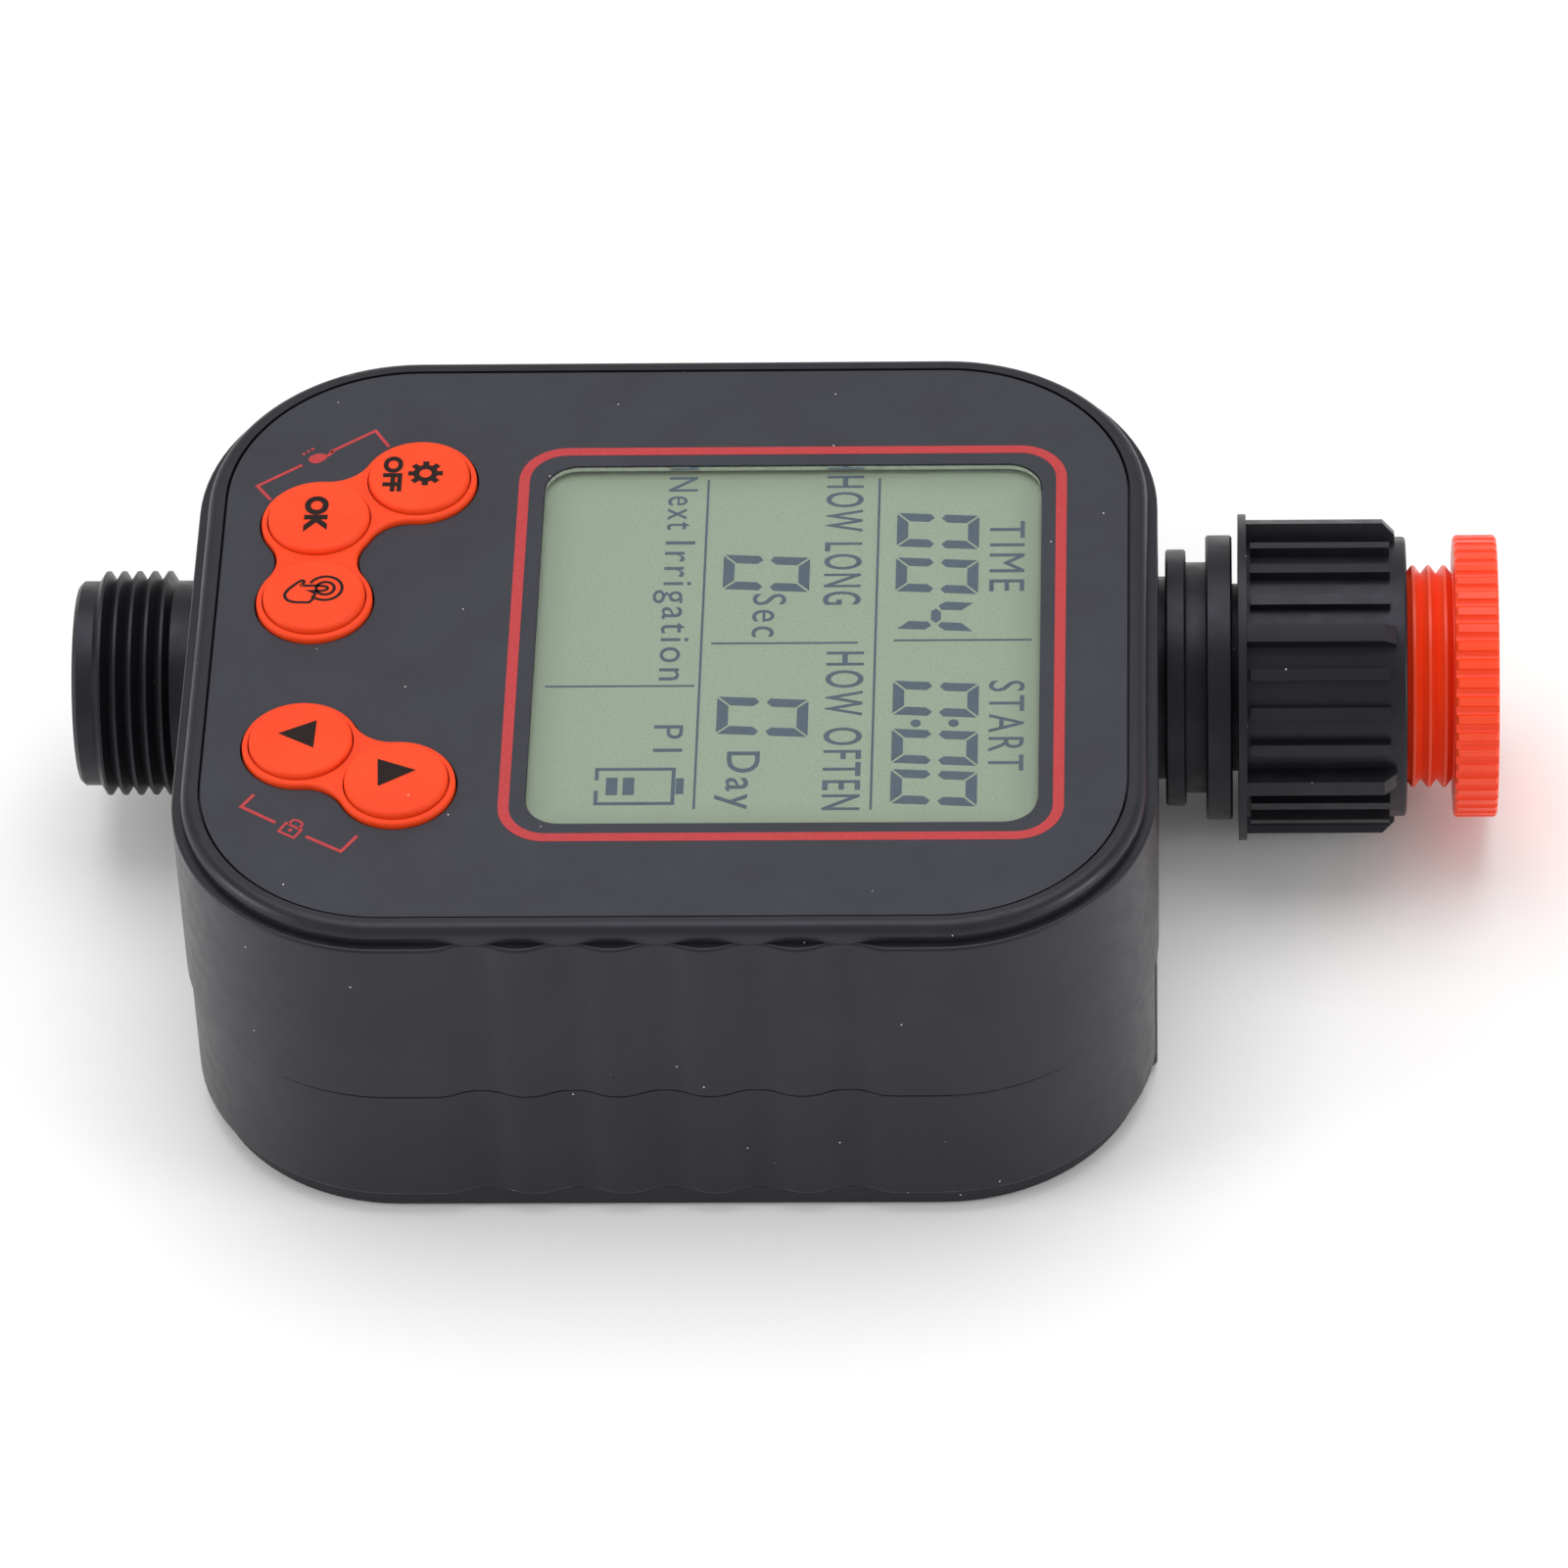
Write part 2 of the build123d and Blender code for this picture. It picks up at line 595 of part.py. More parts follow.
for key_name, key_place in KEY_PLACES.items():
    with BuildPart() as key:
        with BuildSketch(Plane.XY.offset(KEY_BOTTOM)):
            with Locations(key_place):
                Circle(KEY_RADIUS)
        extrude(amount=KEY_TOP - KEY_BOTTOM)
        fillet(key.faces().sort_by(Axis.Z)[-1].edges(), 0.6)
        with BuildSketch(Plane.XY.offset(KEY_BOTTOM)):
            with Locations(key_place):
                Circle(2.2)
        extrude(amount=-0.15)
    save(key.part, key_name)

# --- Circuit board ------------------------------------------------------------------------
with BuildPart() as circuit_board:
    with BuildSketch(Plane.XY.offset(BOARD_BOTTOM)):
        RectangleRounded(BOARD_LENGTH, BOARD_WIDTH, 8)
        with Locations(*BOSS_PLACES):
            Circle(BOSS_RADIUS + 0.3, mode=Mode.SUBTRACT)
        with Locations(*BOARD_POSTS):
            Circle(1.1, mode=Mode.SUBTRACT)
    extrude(amount=BOARD_TOP - BOARD_BOTTOM)
save(circuit_board.part, "circuit_board")

with BuildPart() as board_screws:
    with BuildSketch(Plane.XY.offset(BOARD_BOTTOM - BOARD_SCREW_HEAD_HEIGHT)):
        with Locations(*BOARD_POSTS):
            Circle(BOARD_SCREW_HEAD)
    extrude(amount=BOARD_SCREW_HEAD_HEIGHT)
    with BuildSketch(Plane.XY.offset(BOARD_BOTTOM)):
        with Locations(*BOARD_POSTS):
            Circle(BOARD_SCREW_RADIUS)
    extrude(amount=BOARD_TOP - BOARD_BOTTOM + POST_HOLE_DEPTH - 0.5)
save(board_screws.part, "board_screws")

with BuildPart() as tact_switches:
    with BuildSketch(Plane.XY.offset(BOARD_TOP)):
        with Locations(*KEY_PLACES.values()):
            Rectangle(SWITCH_SIDE, SWITCH_SIDE)
    extrude(amount=SWITCH_HEIGHT)
    with BuildSketch(Plane.XY.offset(BOARD_TOP + SWITCH_HEIGHT)):
        with Locations(*KEY_PLACES.values()):
            Circle(SWITCH_BUTTON_RADIUS)
    extrude(amount=SWITCH_BUTTON_HEIGHT)
save(tact_switches.part, "tact_switches")

with BuildPart() as board_chips:
    with BuildSketch(Plane.XY.offset(BOARD_BOTTOM)):
        with Locations(CONTROLLER_PLACE):
            Rectangle(CONTROLLER_SIDE, CONTROLLER_SIDE)
        with Locations(*DRIVER_PLACES):
            Rectangle(5, 4)
        with Locations(*RESISTOR_PLACES):
            Rectangle(3, 1.6)
    extrude(amount=-CHIP_HEIGHT)
save(board_chips.part, "board_chips")

with BuildPart() as capacitors:
    with BuildSketch(Plane.XY.offset(BOARD_BOTTOM)):
        with Locations(*CAPACITOR_PLACES):
            Circle(CAPACITOR_RADIUS)
    extrude(amount=-CAPACITOR_HEIGHT)
    fillet(capacitors.faces().sort_by(Axis.Z)[:2].edges(), 0.5)
save(capacitors.part, "capacitors")

with BuildPart() as buzzer:
    with BuildSketch(Plane.XY.offset(BOARD_BOTTOM)):
        with Locations(BUZZER_PLACE):
            Circle(BUZZER_RADIUS)
    extrude(amount=-BUZZER_HEIGHT)
    with BuildSketch(Plane.XY.offset(BOARD_BOTTOM - BUZZER_HEIGHT)):
        with Locations(BUZZER_PLACE):
            Circle(BUZZER_RADIUS / 5)
    extrude(amount=1, mode=Mode.SUBTRACT)
save(buzzer.part, "buzzer")

with BuildPart() as board_sockets:
    with BuildSketch(Plane.XY.offset(BOARD_BOTTOM)):
        with Locations(*SOCKET_PLACES):
            Rectangle(5, 8)
    extrude(amount=-SOCKET_HEIGHT)
    with BuildSketch(Plane.XY.offset(BOARD_BOTTOM - SOCKET_HEIGHT)):
        with Locations(*SOCKET_PLACES):
            Rectangle(3, 6)
    extrude(amount=SOCKET_HEIGHT - 1, mode=Mode.SUBTRACT)
save(board_sockets.part, "board_sockets")

# --- Valve body with the threaded outlet --------------------------------------------------
outlet_thread = thread_profile(OUTLET_FIRST_CREST, OUTLET_CRESTS, THREAD_PITCH, G34_ROOT, G34_CREST)
valve_outer = [(OUTLET_END, PIPE_BORE), (OUTLET_END, G34_ROOT - 0.5), (OUTLET_END + 0.5, G34_ROOT)]
valve_outer += outlet_thread
valve_outer += [(CHAMBER_START - 5, PIPE_RADIUS), (CHAMBER_START - 4, CHAMBER_OUTER)]
valve_outer += [(CHAMBER_END, CHAMBER_OUTER), (CHAMBER_END, CHAMBER_RADIUS)]
valve_outer += [(CHAMBER_START, CHAMBER_RADIUS), (CHAMBER_START, BALL_BORE)]
valve_outer += [(CHAMBER_START - 2, BALL_BORE), (CHAMBER_START - 10, PIPE_BORE)]
with BuildPart() as valve_body:
    add(turned(valve_outer))
    with BuildSketch(Plane(origin=(0, PIPE_Y, PIPE_Z + CHAMBER_RADIUS + 1))):
        Circle(6.5)
    extrude(amount=BOSS_TOP - PIPE_Z - CHAMBER_RADIUS - 1)
    with BuildSketch(Plane(origin=(0, PIPE_Y, PIPE_Z))):
        Circle(STEM_RADIUS + 0.06)
    extrude(amount=HEIGHT, mode=Mode.SUBTRACT)
save(valve_body.part, "valve_body")

# --- Ball, seats and stem -----------------------------------------------------------------
SLOT_FLOOR = PIPE_Z + 7.3
with BuildPart() as valve_ball:
    with Locations((0, PIPE_Y, PIPE_Z)):
        Sphere(BALL_RADIUS)
    with BuildSketch(Plane(origin=(0, PIPE_Y, PIPE_Z), x_dir=(1, 0, 0), z_dir=(0, 1, 0))):
        Circle(BALL_BORE)
    extrude(amount=BALL_RADIUS + 1, both=True, mode=Mode.SUBTRACT)
    with BuildSketch(Plane(origin=(0, PIPE_Y, SLOT_FLOOR))):
        Rectangle(TONGUE_WIDTH + 0.2, 2 * BALL_RADIUS)
    extrude(amount=5, mode=Mode.SUBTRACT)
save(valve_ball.part, "valve_ball")

SEAT_RADIUS = BALL_RADIUS + 0.04
SEAT_LIP = 5.0
SEAT_HOLE = BALL_BORE + 0.1
seat_lip_radius = math.sqrt(SEAT_RADIUS**2 - SEAT_LIP**2)
seat_hole_x = math.sqrt(SEAT_RADIUS**2 - SEAT_HOLE**2)
with BuildPart() as ball_seats:
    with BuildSketch(PIPE_SECTION):
        for side in (-1, 1):
            with BuildLine():
                rim = (side * SEAT_LIP, CHAMBER_RADIUS - 0.05)
                back = (-side * CHAMBER_START, CHAMBER_RADIUS - 0.05)
                foot = (-side * CHAMBER_START, SEAT_HOLE)
                lip = (side * SEAT_LIP, seat_lip_radius)
                throat = (side * seat_hole_x, SEAT_HOLE)
                Polyline(lip, rim, back, foot, throat)
                RadiusArc(throat, lip, -side * SEAT_RADIUS)
            make_face()
    revolve(axis=PIPE_AXIS)
save(ball_seats.part, "ball_seats")

RING_SECTION = 0.65
RING_LEVELS = (30.5, 32.1)
with BuildPart() as valve_stem:
    with BuildSketch(Plane(origin=(0, PIPE_Y, SLOT_FLOOR + 0.1))):
        Rectangle(TONGUE_WIDTH, 2 * STEM_RADIUS - 0.6)
    extrude(amount=PIPE_Z + BALL_RADIUS + 0.2 - SLOT_FLOOR)
    with BuildSketch(Plane(origin=(0, PIPE_Y, PIPE_Z + BALL_RADIUS + 0.1))):
        Circle(STEM_RADIUS)
    extrude(amount=STEM_TOP - PIPE_Z - BALL_RADIUS - 0.1)
    for ring_z in RING_LEVELS:
        with BuildSketch(Plane(origin=(0, PIPE_Y, ring_z - RING_SECTION - 0.05))):
            Circle(STEM_RADIUS + 1)
            Circle(STEM_RADIUS - 2 * RING_SECTION + 0.05, mode=Mode.SUBTRACT)
        extrude(amount=2 * RING_SECTION + 0.1, mode=Mode.SUBTRACT)
save(valve_stem.part, "valve_stem")

with BuildPart() as stem_o_rings:
    with Locations(*[(0, PIPE_Y, ring_z) for ring_z in RING_LEVELS]):
        Torus(STEM_RADIUS - RING_SECTION + 0.05, RING_SECTION)
save(stem_o_rings.part, "stem_o_rings")

# --- Inlet spigot, its seals and the filter -----------------------------------------------
def disc_edges(ends, radius):
    """Profile points of a collar between two ends, with small bevels."""
    start, end = ends
    low = radius - COLLAR_EDGE
    return [(start, low), (start + COLLAR_EDGE, radius), (end - COLLAR_EDGE, radius), (end, low)]


def groove(ends, radius, floor):
    """Profile points of a square groove cut from radius down to floor."""
    return [(ends[0], radius), (ends[0], floor), (ends[1], floor), (ends[1], radius)]


flange_start = CHAMBER_END + 0.05
spigot_profile = [(PLUG_START, BALL_BORE), (PLUG_START, PLUG_RADIUS)]
spigot_profile += groove(PLUG_GROOVE, PLUG_RADIUS, PLUG_GROOVE_RADIUS)
spigot_profile += [(flange_start, PLUG_RADIUS), (flange_start, CHAMBER_OUTER)]
spigot_profile += [(SPIGOT_FLANGE_END, CHAMBER_OUTER), (SPIGOT_FLANGE_END, SPIGOT_NECK)]
spigot_profile += [(FIRST_COLLAR[0], SPIGOT_NECK)] + disc_edges(FIRST_COLLAR, FIRST_COLLAR_RADIUS)
spigot_profile += [(FIRST_COLLAR[1], WAIST_RADIUS), (SECOND_COLLAR[0], WAIST_RADIUS)]
spigot_profile += disc_edges(SECOND_COLLAR, SECOND_COLLAR_RADIUS)
spigot_profile += [(SECOND_COLLAR[1], NOSE_RADIUS)]
spigot_profile += groove(NOSE_GROOVE, NOSE_RADIUS, NOSE_GROOVE_RADIUS)
spigot_profile += [(SPIGOT_END, NOSE_RADIUS), (SPIGOT_END, PIPE_BORE)]
spigot_profile += [(PLUG_START + 9.6, PIPE_BORE), (PLUG_START + 2.2, BALL_BORE)]
save(turned(spigot_profile), "inlet_spigot")

PLUG_RING_SECTION = 0.68
with BuildPart() as spigot_o_ring:
    with BuildSketch(PIPE_SECTION):
        with Locations(((PLUG_GROOVE[0] + PLUG_GROOVE[1]) / 2, PLUG_GROOVE_RADIUS + 0.75)):
            Circle(PLUG_RING_SECTION)
    revolve(axis=PIPE_AXIS)
save(spigot_o_ring.part, "spigot_o_ring")

RING_OPENING = 3.0
with BuildPart() as nut_retaining_ring:
    with BuildSketch(across_pipe(NOSE_GROOVE[0] + 0.1)):
        Circle(INNER_RIM_RADIUS)
        Circle(NOSE_GROOVE_RADIUS + 0.1, mode=Mode.SUBTRACT)
        with Locations((0, -INNER_RIM_RADIUS + 1)):
            Rectangle(RING_OPENING, 6, mode=Mode.SUBTRACT)
    extrude(amount=NOSE_GROOVE[1] - NOSE_GROOVE[0] - 0.2)
save(nut_retaining_ring.part, "nut_retaining_ring")

# Basket filter: a rim held between spigot and washer, and a tapering cup inside the spigot
FILTER_RIM = (SPIGOT_END + 0.1, SPIGOT_END + 0.7)
FILTER_BOTTOM = 57.6
FILTER_MOUTH = 8.4
FILTER_TIP = 6.9
FILTER_WALL = 0.5
filter_profile = [
    (FILTER_RIM[1], FILTER_MOUTH - FILTER_WALL), (FILTER_RIM[1], INNER_RIM_RADIUS),
    (FILTER_RIM[0], INNER_RIM_RADIUS), (FILTER_RIM[0], FILTER_MOUTH),
    (FILTER_BOTTOM + FILTER_WALL, FILTER_TIP), (FILTER_BOTTOM, FILTER_TIP - FILTER_WALL),
    (FILTER_BOTTOM, 0), (FILTER_BOTTOM + FILTER_WALL, 0),
    (FILTER_BOTTOM + FILTER_WALL, FILTER_TIP - 1.6 * FILTER_WALL),
    (FILTER_BOTTOM + 2 * FILTER_WALL, FILTER_TIP - FILTER_WALL),
]
save(turned(filter_profile), "filter_screen")


def flat_washer(start, end, hole, rim):
    return turned([(start, hole), (end, hole), (end, rim), (start, rim)])


nut_washer_start = FILTER_RIM[1] + 0.05
save(flat_washer(nut_washer_start, ADAPTER_START - 0.2, FILTER_MOUTH, INNER_RIM_RADIUS), "nut_washer")

# --- Swivel nut ---------------------------------------------------------------------------
lug_bevel = [
    (LUG_END - LUG_BEVEL, LUG_TOP + 0.1), (LUG_END + 0.1, LUG_TOP - LUG_BEVEL),
    (LUG_END + 0.1, LUG_TOP + 1), (LUG_END - LUG_BEVEL, LUG_TOP + 1),
]
with BuildPart() as swivel_nut:
    for pattern_radius, count, width, start, end in (
        (RIB_TOP, NUT_POSITIONS, RIB_WIDTH, RIB_START, RIB_END),
        (LUG_TOP, NUT_POSITIONS // 4, LUG_WIDTH, NUT_START, LUG_END),
    ):
        with BuildSketch(across_pipe(start)):
            with PolarLocations(0, count):
                Rectangle(pattern_radius, width, align=(Align.MIN, Align.CENTER))
            Circle(pattern_radius, mode=Mode.INTERSECT)
        extrude(amount=end - start)
    add(turned(lug_bevel), mode=Mode.SUBTRACT)
    with BuildSketch(across_pipe(NUT_START)):
        Circle(NUT_CORE)
    extrude(amount=NUT_END - NUT_START)
    fillet(swivel_nut.faces().sort_by(Axis.X)[-1].outer_wire().edges(), 0.4)
    with BuildSketch(across_pipe(NUT_START)):
        Circle(NUT_FLANGE)
    extrude(amount=NUT_FLANGE_THICKNESS)
    with BuildSketch(across_pipe(NUT_START)):
        Circle(NUT_REAR_HOLE)
    extrude(amount=NUT_END - NUT_START, mode=Mode.SUBTRACT)
    with BuildSketch(across_pipe(NUT_WALL_END)):
        Circle(NUT_BORE)
    extrude(amount=NUT_END - NUT_WALL_END, mode=Mode.SUBTRACT)
save(swivel_nut.part, "swivel_nut")

# --- Reducer adapter ----------------------------------------------------------------------
adapter_first = ADAPTER_RING_START - (ADAPTER_CRESTS - 0.4) * THREAD_PITCH
adapter_thread = thread_profile(adapter_first, ADAPTER_CRESTS, THREAD_PITCH, G34_ROOT, REDUCER_CREST)
socket_thread = thread_profile(SOCKET_FIRST_CREST, SOCKET_CRESTS, -THREAD_PITCH, G12_ROOT, G12_CREST)
ring_low = ADAPTER_RING_RADIUS - ADAPTER_RING_EDGE
adapter_profile = [(ADAPTER_START, ADAPTER_BORE), (ADAPTER_START, G34_ROOT - 0.4)]
adapter_profile += [(ADAPTER_START + 0.4, G34_ROOT)] + adapter_thread
adapter_profile += [(ADAPTER_RING_START, G34_ROOT), (ADAPTER_RING_START, ring_low)]
adapter_profile += [(ADAPTER_RING_START + ADAPTER_RING_EDGE, ADAPTER_RING_RADIUS)]
adapter_profile += [(ADAPTER_END - ADAPTER_RING_EDGE, ADAPTER_RING_RADIUS), (ADAPTER_END, ring_low)]
adapter_profile += [(ADAPTER_END, G12_ROOT)] + socket_thread
adapter_profile += [(SOCKET_FLOOR, G12_ROOT), (SOCKET_FLOOR, ADAPTER_BORE)]
with BuildPart() as reducer_adapter:
    add(turned(adapter_profile))
    with BuildSketch(across_pipe(ADAPTER_RING_START)):
        with PolarLocations(ADAPTER_RING_RADIUS + 0.1, ADAPTER_NOTCHES):
            Circle(NOTCH_RADIUS)
    extrude(amount=ADAPTER_END - ADAPTER_RING_START, mode=Mode.SUBTRACT)
save(reducer_adapter.part, "reducer_adapter")

socket_washer = flat_washer(SOCKET_FLOOR + 0.05, SOCKET_FLOOR + 1.8, ADAPTER_BORE, G12_ROOT - 0.08)
save(socket_washer, "socket_washer")

# --- Gear train ---------------------------------------------------------------------------
STEM_PLACE = (0.0, PIPE_Y)
angle_to_two = direction(STEM_PLACE, AXIS_TWO)
angle_to_one = direction(AXIS_TWO, AXIS_ONE)
angle_to_motor = direction(AXIS_ONE, AXIS_MOTOR)

output_wheel = gear_solid(OUTPUT_TEETH, angle_to_two, STEM_RADIUS, STEM_PLACE, OUTPUT_GEAR_Z)
save(output_wheel, "output_gear")

for gear_name, place, pinion_angle, wheel_teeth, wheel_angle, pinion_z, wheel_z in (
    ("second_gear", AXIS_TWO, angle_to_two, WHEEL_TWO_TEETH, angle_to_one, PINION_TWO_Z, WHEEL_TWO_Z),
    ("first_gear", AXIS_ONE, angle_to_one, WHEEL_ONE_TEETH, angle_to_motor, PINION_ONE_Z, WHEEL_ONE_Z),
):
    half_step = math.pi / PINION_TEETH
    pinion_levels = (wheel_z[1], pinion_z[1])
    with BuildPart() as compound_gear:
        pinion_start = pinion_angle + math.pi + half_step
        add(gear_solid(PINION_TEETH, pinion_start, PIN_RADIUS + 0.05, place, pinion_levels))
        add(gear_solid(wheel_teeth, wheel_angle, PIN_RADIUS + 0.05, place, wheel_z))
    save(compound_gear.part, gear_name)

motor_tooth = angle_to_motor + math.pi + math.pi / MOTOR_TEETH
motor_pinion = gear_solid(MOTOR_TEETH, motor_tooth, MOTOR_SHAFT_RADIUS, AXIS_MOTOR, MOTOR_PINION_Z)
save(motor_pinion, "motor_pinion")

with BuildPart() as motor_shaft:
    with BuildSketch(Plane.XY.offset(MOTOR_SHAFT_Z[0])):
        with Locations(AXIS_MOTOR):
            Circle(MOTOR_SHAFT_RADIUS)
    extrude(amount=MOTOR_SHAFT_Z[1] - MOTOR_SHAFT_Z[0])
save(motor_shaft.part, "motor_shaft")

with BuildPart() as motor:
    with BuildSketch(Plane(origin=(AXIS_MOTOR[0], AXIS_MOTOR[1], FLOOR + 0.2))):
        Circle(MOTOR_RADIUS)
        Rectangle(*MOTOR_FLAT_SIZE, mode=Mode.INTERSECT)
    extrude(amount=PLATE_Z[0] - FLOOR - 0.2)
    with BuildSketch(Plane.XY.offset(PLATE_Z[0])):
        with Locations(AXIS_MOTOR):
            Circle(MOTOR_NECK[0])
    extrude(amount=MOTOR_NECK[1])
    with BuildSketch(Plane.XY.offset(MOTOR_SHAFT_Z[0] - 0.2)):
        with Locations(AXIS_MOTOR):
            Circle(MOTOR_SHAFT_RADIUS + 0.05)
    extrude(amount=MOTOR_SHAFT_Z[1] - MOTOR_SHAFT_Z[0], mode=Mode.SUBTRACT)
save(motor.part, "motor")

GEARBOX_POSTS = ((AXIS_MOTOR[0] - 2.0, AXIS_MOTOR[1] + 11.3), (-4.0, -8.8))
MOUNT_POSTS = ((-40.0, -14.8), (-5.0, -15.3))
with BuildPart() as gearbox_plate:
    with BuildSketch(Plane.XY.offset(PLATE_Z[0])):
        with Locations(AXIS_MOTOR):
            Circle(11)
        with Locations(*MOUNT_POSTS, *GEARBOX_POSTS):
            Circle(3.2)
        with Locations(AXIS_TWO):
            Circle(4)
        make_hull()
        with Locations(AXIS_MOTOR):
            Circle(MOTOR_NECK[0] + 0.05, mode=Mode.SUBTRACT)
        with Locations(AXIS_ONE, AXIS_TWO):
            Circle(PIN_RADIUS, mode=Mode.SUBTRACT)
        with Locations(*MOUNT_POSTS):
            Circle(MOUNT_SCREW_RADIUS + 0.15, mode=Mode.SUBTRACT)
    extrude(amount=PLATE_Z[1] - PLATE_Z[0])
save(gearbox_plate.part, "gearbox_plate")

with BuildPart() as gearbox_cover:
    with BuildSketch(Plane.XY.offset(COVER_Z[0])):
        with Locations(*GEARBOX_POSTS):
            Circle(2.4)
        with Locations(STEM_PLACE):
            Circle(5)
        make_hull()
        with Locations(STEM_PLACE):
            Circle(STEM_RADIUS + 0.08, mode=Mode.SUBTRACT)
        with Locations(AXIS_ONE, AXIS_TWO):
            Circle(PIN_RADIUS, mode=Mode.SUBTRACT)
    extrude(amount=COVER_Z[1] - COVER_Z[0])
    with BuildSketch(Plane.XY.offset(PLATE_Z[1])):
        with Locations(*GEARBOX_POSTS):
            Circle(GEAR_POST_RADIUS)
    extrude(amount=COVER_Z[0] - PLATE_Z[1])
save(gearbox_cover.part, "gearbox_cover")

with BuildPart() as gear_pins:
    with BuildSketch(Plane.XY.offset(PLATE_Z[0])):
        with Locations(AXIS_ONE, AXIS_TWO):
            Circle(PIN_RADIUS)
    extrude(amount=COVER_Z[1] - PLATE_Z[0])
save(gear_pins.part, "gear_pins")

with BuildPart() as gearbox_pillars:
    with BuildSketch(Plane.XY.offset(FLOOR)):
        with Locations(*MOUNT_POSTS):
            Circle(MOUNT_POST_RADIUS)
    extrude(amount=PLATE_Z[0] - FLOOR)
    with BuildSketch(Plane.XY.offset(PLATE_Z[0])):
        with Locations(*MOUNT_POSTS):
            Circle(MOUNT_SCREW_RADIUS + 0.05)
    extrude(amount=-MOUNT_SCREW_LENGTH - 1, mode=Mode.SUBTRACT)
save(gearbox_pillars.part, "gearbox_pillars")

with BuildPart() as gearbox_screws:
    with BuildSketch(Plane.XY.offset(PLATE_Z[1])):
        with Locations(*MOUNT_POSTS):
            Circle(MOUNT_SCREW_HEAD[0])
    extrude(amount=MOUNT_SCREW_HEAD[1])
    with BuildSketch(Plane.XY.offset(PLATE_Z[1])):
        with Locations(*MOUNT_POSTS):
            Circle(MOUNT_SCREW_RADIUS)
    extrude(amount=-MOUNT_SCREW_LENGTH)
save(gearbox_screws.part, "gearbox_screws")

# --- Battery bay and drawer ---------------------------------------------------------------
CELL_PLACES = ((DRAWER_Y - CELL_SPACING / 2, CELL_Z), (DRAWER_Y + CELL_SPACING / 2, CELL_Z))
BAY_MIDDLE = (DRAWER_Y, (BAY_Z + BAY_TOP) / 2)
with BuildPart() as battery_sleeve:
    with BuildSketch(Plane.YZ.offset(SLEEVE_START)):
        with Locations((DRAWER_Y, (FLOOR + 0.05 + BAY_TOP + SLEEVE_WALL) / 2)):
            Rectangle(BAY_WIDTH + 2 * SLEEVE_WALL, BAY_TOP + SLEEVE_WALL - FLOOR - 0.05)
    extrude(amount=SLEEVE_END - SLEEVE_START)
    with BuildSketch(Plane.YZ.offset(SLEEVE_START + SLEEVE_WALL)):
        with Locations(BAY_MIDDLE):
            Rectangle(BAY_WIDTH, BAY_TOP - BAY_Z)
    extrude(amount=SLEEVE_END - SLEEVE_START, mode=Mode.SUBTRACT)
save(battery_sleeve.part, "battery_sleeve")

CONTACT_X = SLEEVE_START + SLEEVE_WALL
with BuildPart() as battery_contacts:
    with BuildSketch(Plane.YZ.offset(CONTACT_X)):
        with Locations(*CELL_PLACES):
            Rectangle(*CONTACT_SIZE)
    extrude(amount=CONTACT_THICKNESS)
    with BuildSketch(Plane.YZ.offset(CONTACT_X + CONTACT_THICKNESS)):
        with Locations(*CELL_PLACES):
            Circle(SPRING_RADIUS)
            Circle(SPRING_BORE, mode=Mode.SUBTRACT)
    extrude(amount=SPRING_LENGTH)
save(battery_contacts.part, "battery_contacts")

with BuildPart() as battery_drawer:
    with BuildSketch(Plane.YZ.offset(END_PLATE_X)):
        with Locations((DRAWER_Y, END_PLATE_HEIGHT / 2 + 0.4)):
            RectangleRounded(END_PLATE_WIDTH, END_PLATE_HEIGHT, 1.2)
    extrude(amount=END_PLATE_THICKNESS)
    chamfer(battery_drawer.faces().sort_by(Axis.X)[-1].edges(), 0.4)
    with BuildSketch(Plane.YZ.offset(DRAWER_STEP_X)):
        with Locations(BAY_MIDDLE):
            Rectangle(*DRAWER_STEP)
    extrude(amount=END_PLATE_X - DRAWER_STEP_X)
    with BuildSketch(Plane.YZ.offset(TRAY_START)):
        with Locations((DRAWER_Y, TRAY_BOTTOM + TRAY_SIZE[1] / 2)):
            Rectangle(*TRAY_SIZE)
    extrude(amount=DRAWER_STEP_X - TRAY_START)
    with BuildSketch(Plane.YZ.offset(CELL_START - 0.4)):
        with Locations(*CELL_PLACES):
            Circle(CELL_RADIUS + 0.15)
    extrude(amount=CELL_LENGTH + 0.8, mode=Mode.SUBTRACT)
    with BuildSketch(Plane.YZ):
        with Locations(*CELL_PLACES):
            Circle(TRAY_NOTCH_RADIUS)
            notch_width = 2 * TRAY_NOTCH_RADIUS
            Rectangle(notch_width, BAY_TOP, align=(Align.CENTER, Align.MIN))
    extrude(amount=CELL_START + 4, mode=Mode.SUBTRACT)
    with BuildSketch(Plane.YZ.offset(CELL_START + CELL_LENGTH)):
        with Locations((DRAWER_Y, CELL_Z)):
            Rectangle(JUMPER_SIZE[0], JUMPER_SIZE[1] + 0.2)
    extrude(amount=JUMPER_THICKNESS + 0.1, mode=Mode.SUBTRACT)
save(battery_drawer.part, "battery_drawer")

with BuildPart() as battery_jumper:
    with BuildSketch(Plane.YZ.offset(CELL_START + CELL_LENGTH + 0.05)):
        with Locations((DRAWER_Y, CELL_Z)):
            Rectangle(*JUMPER_SIZE)
    extrude(amount=JUMPER_THICKNESS)
save(battery_jumper.part, "battery_jumper")

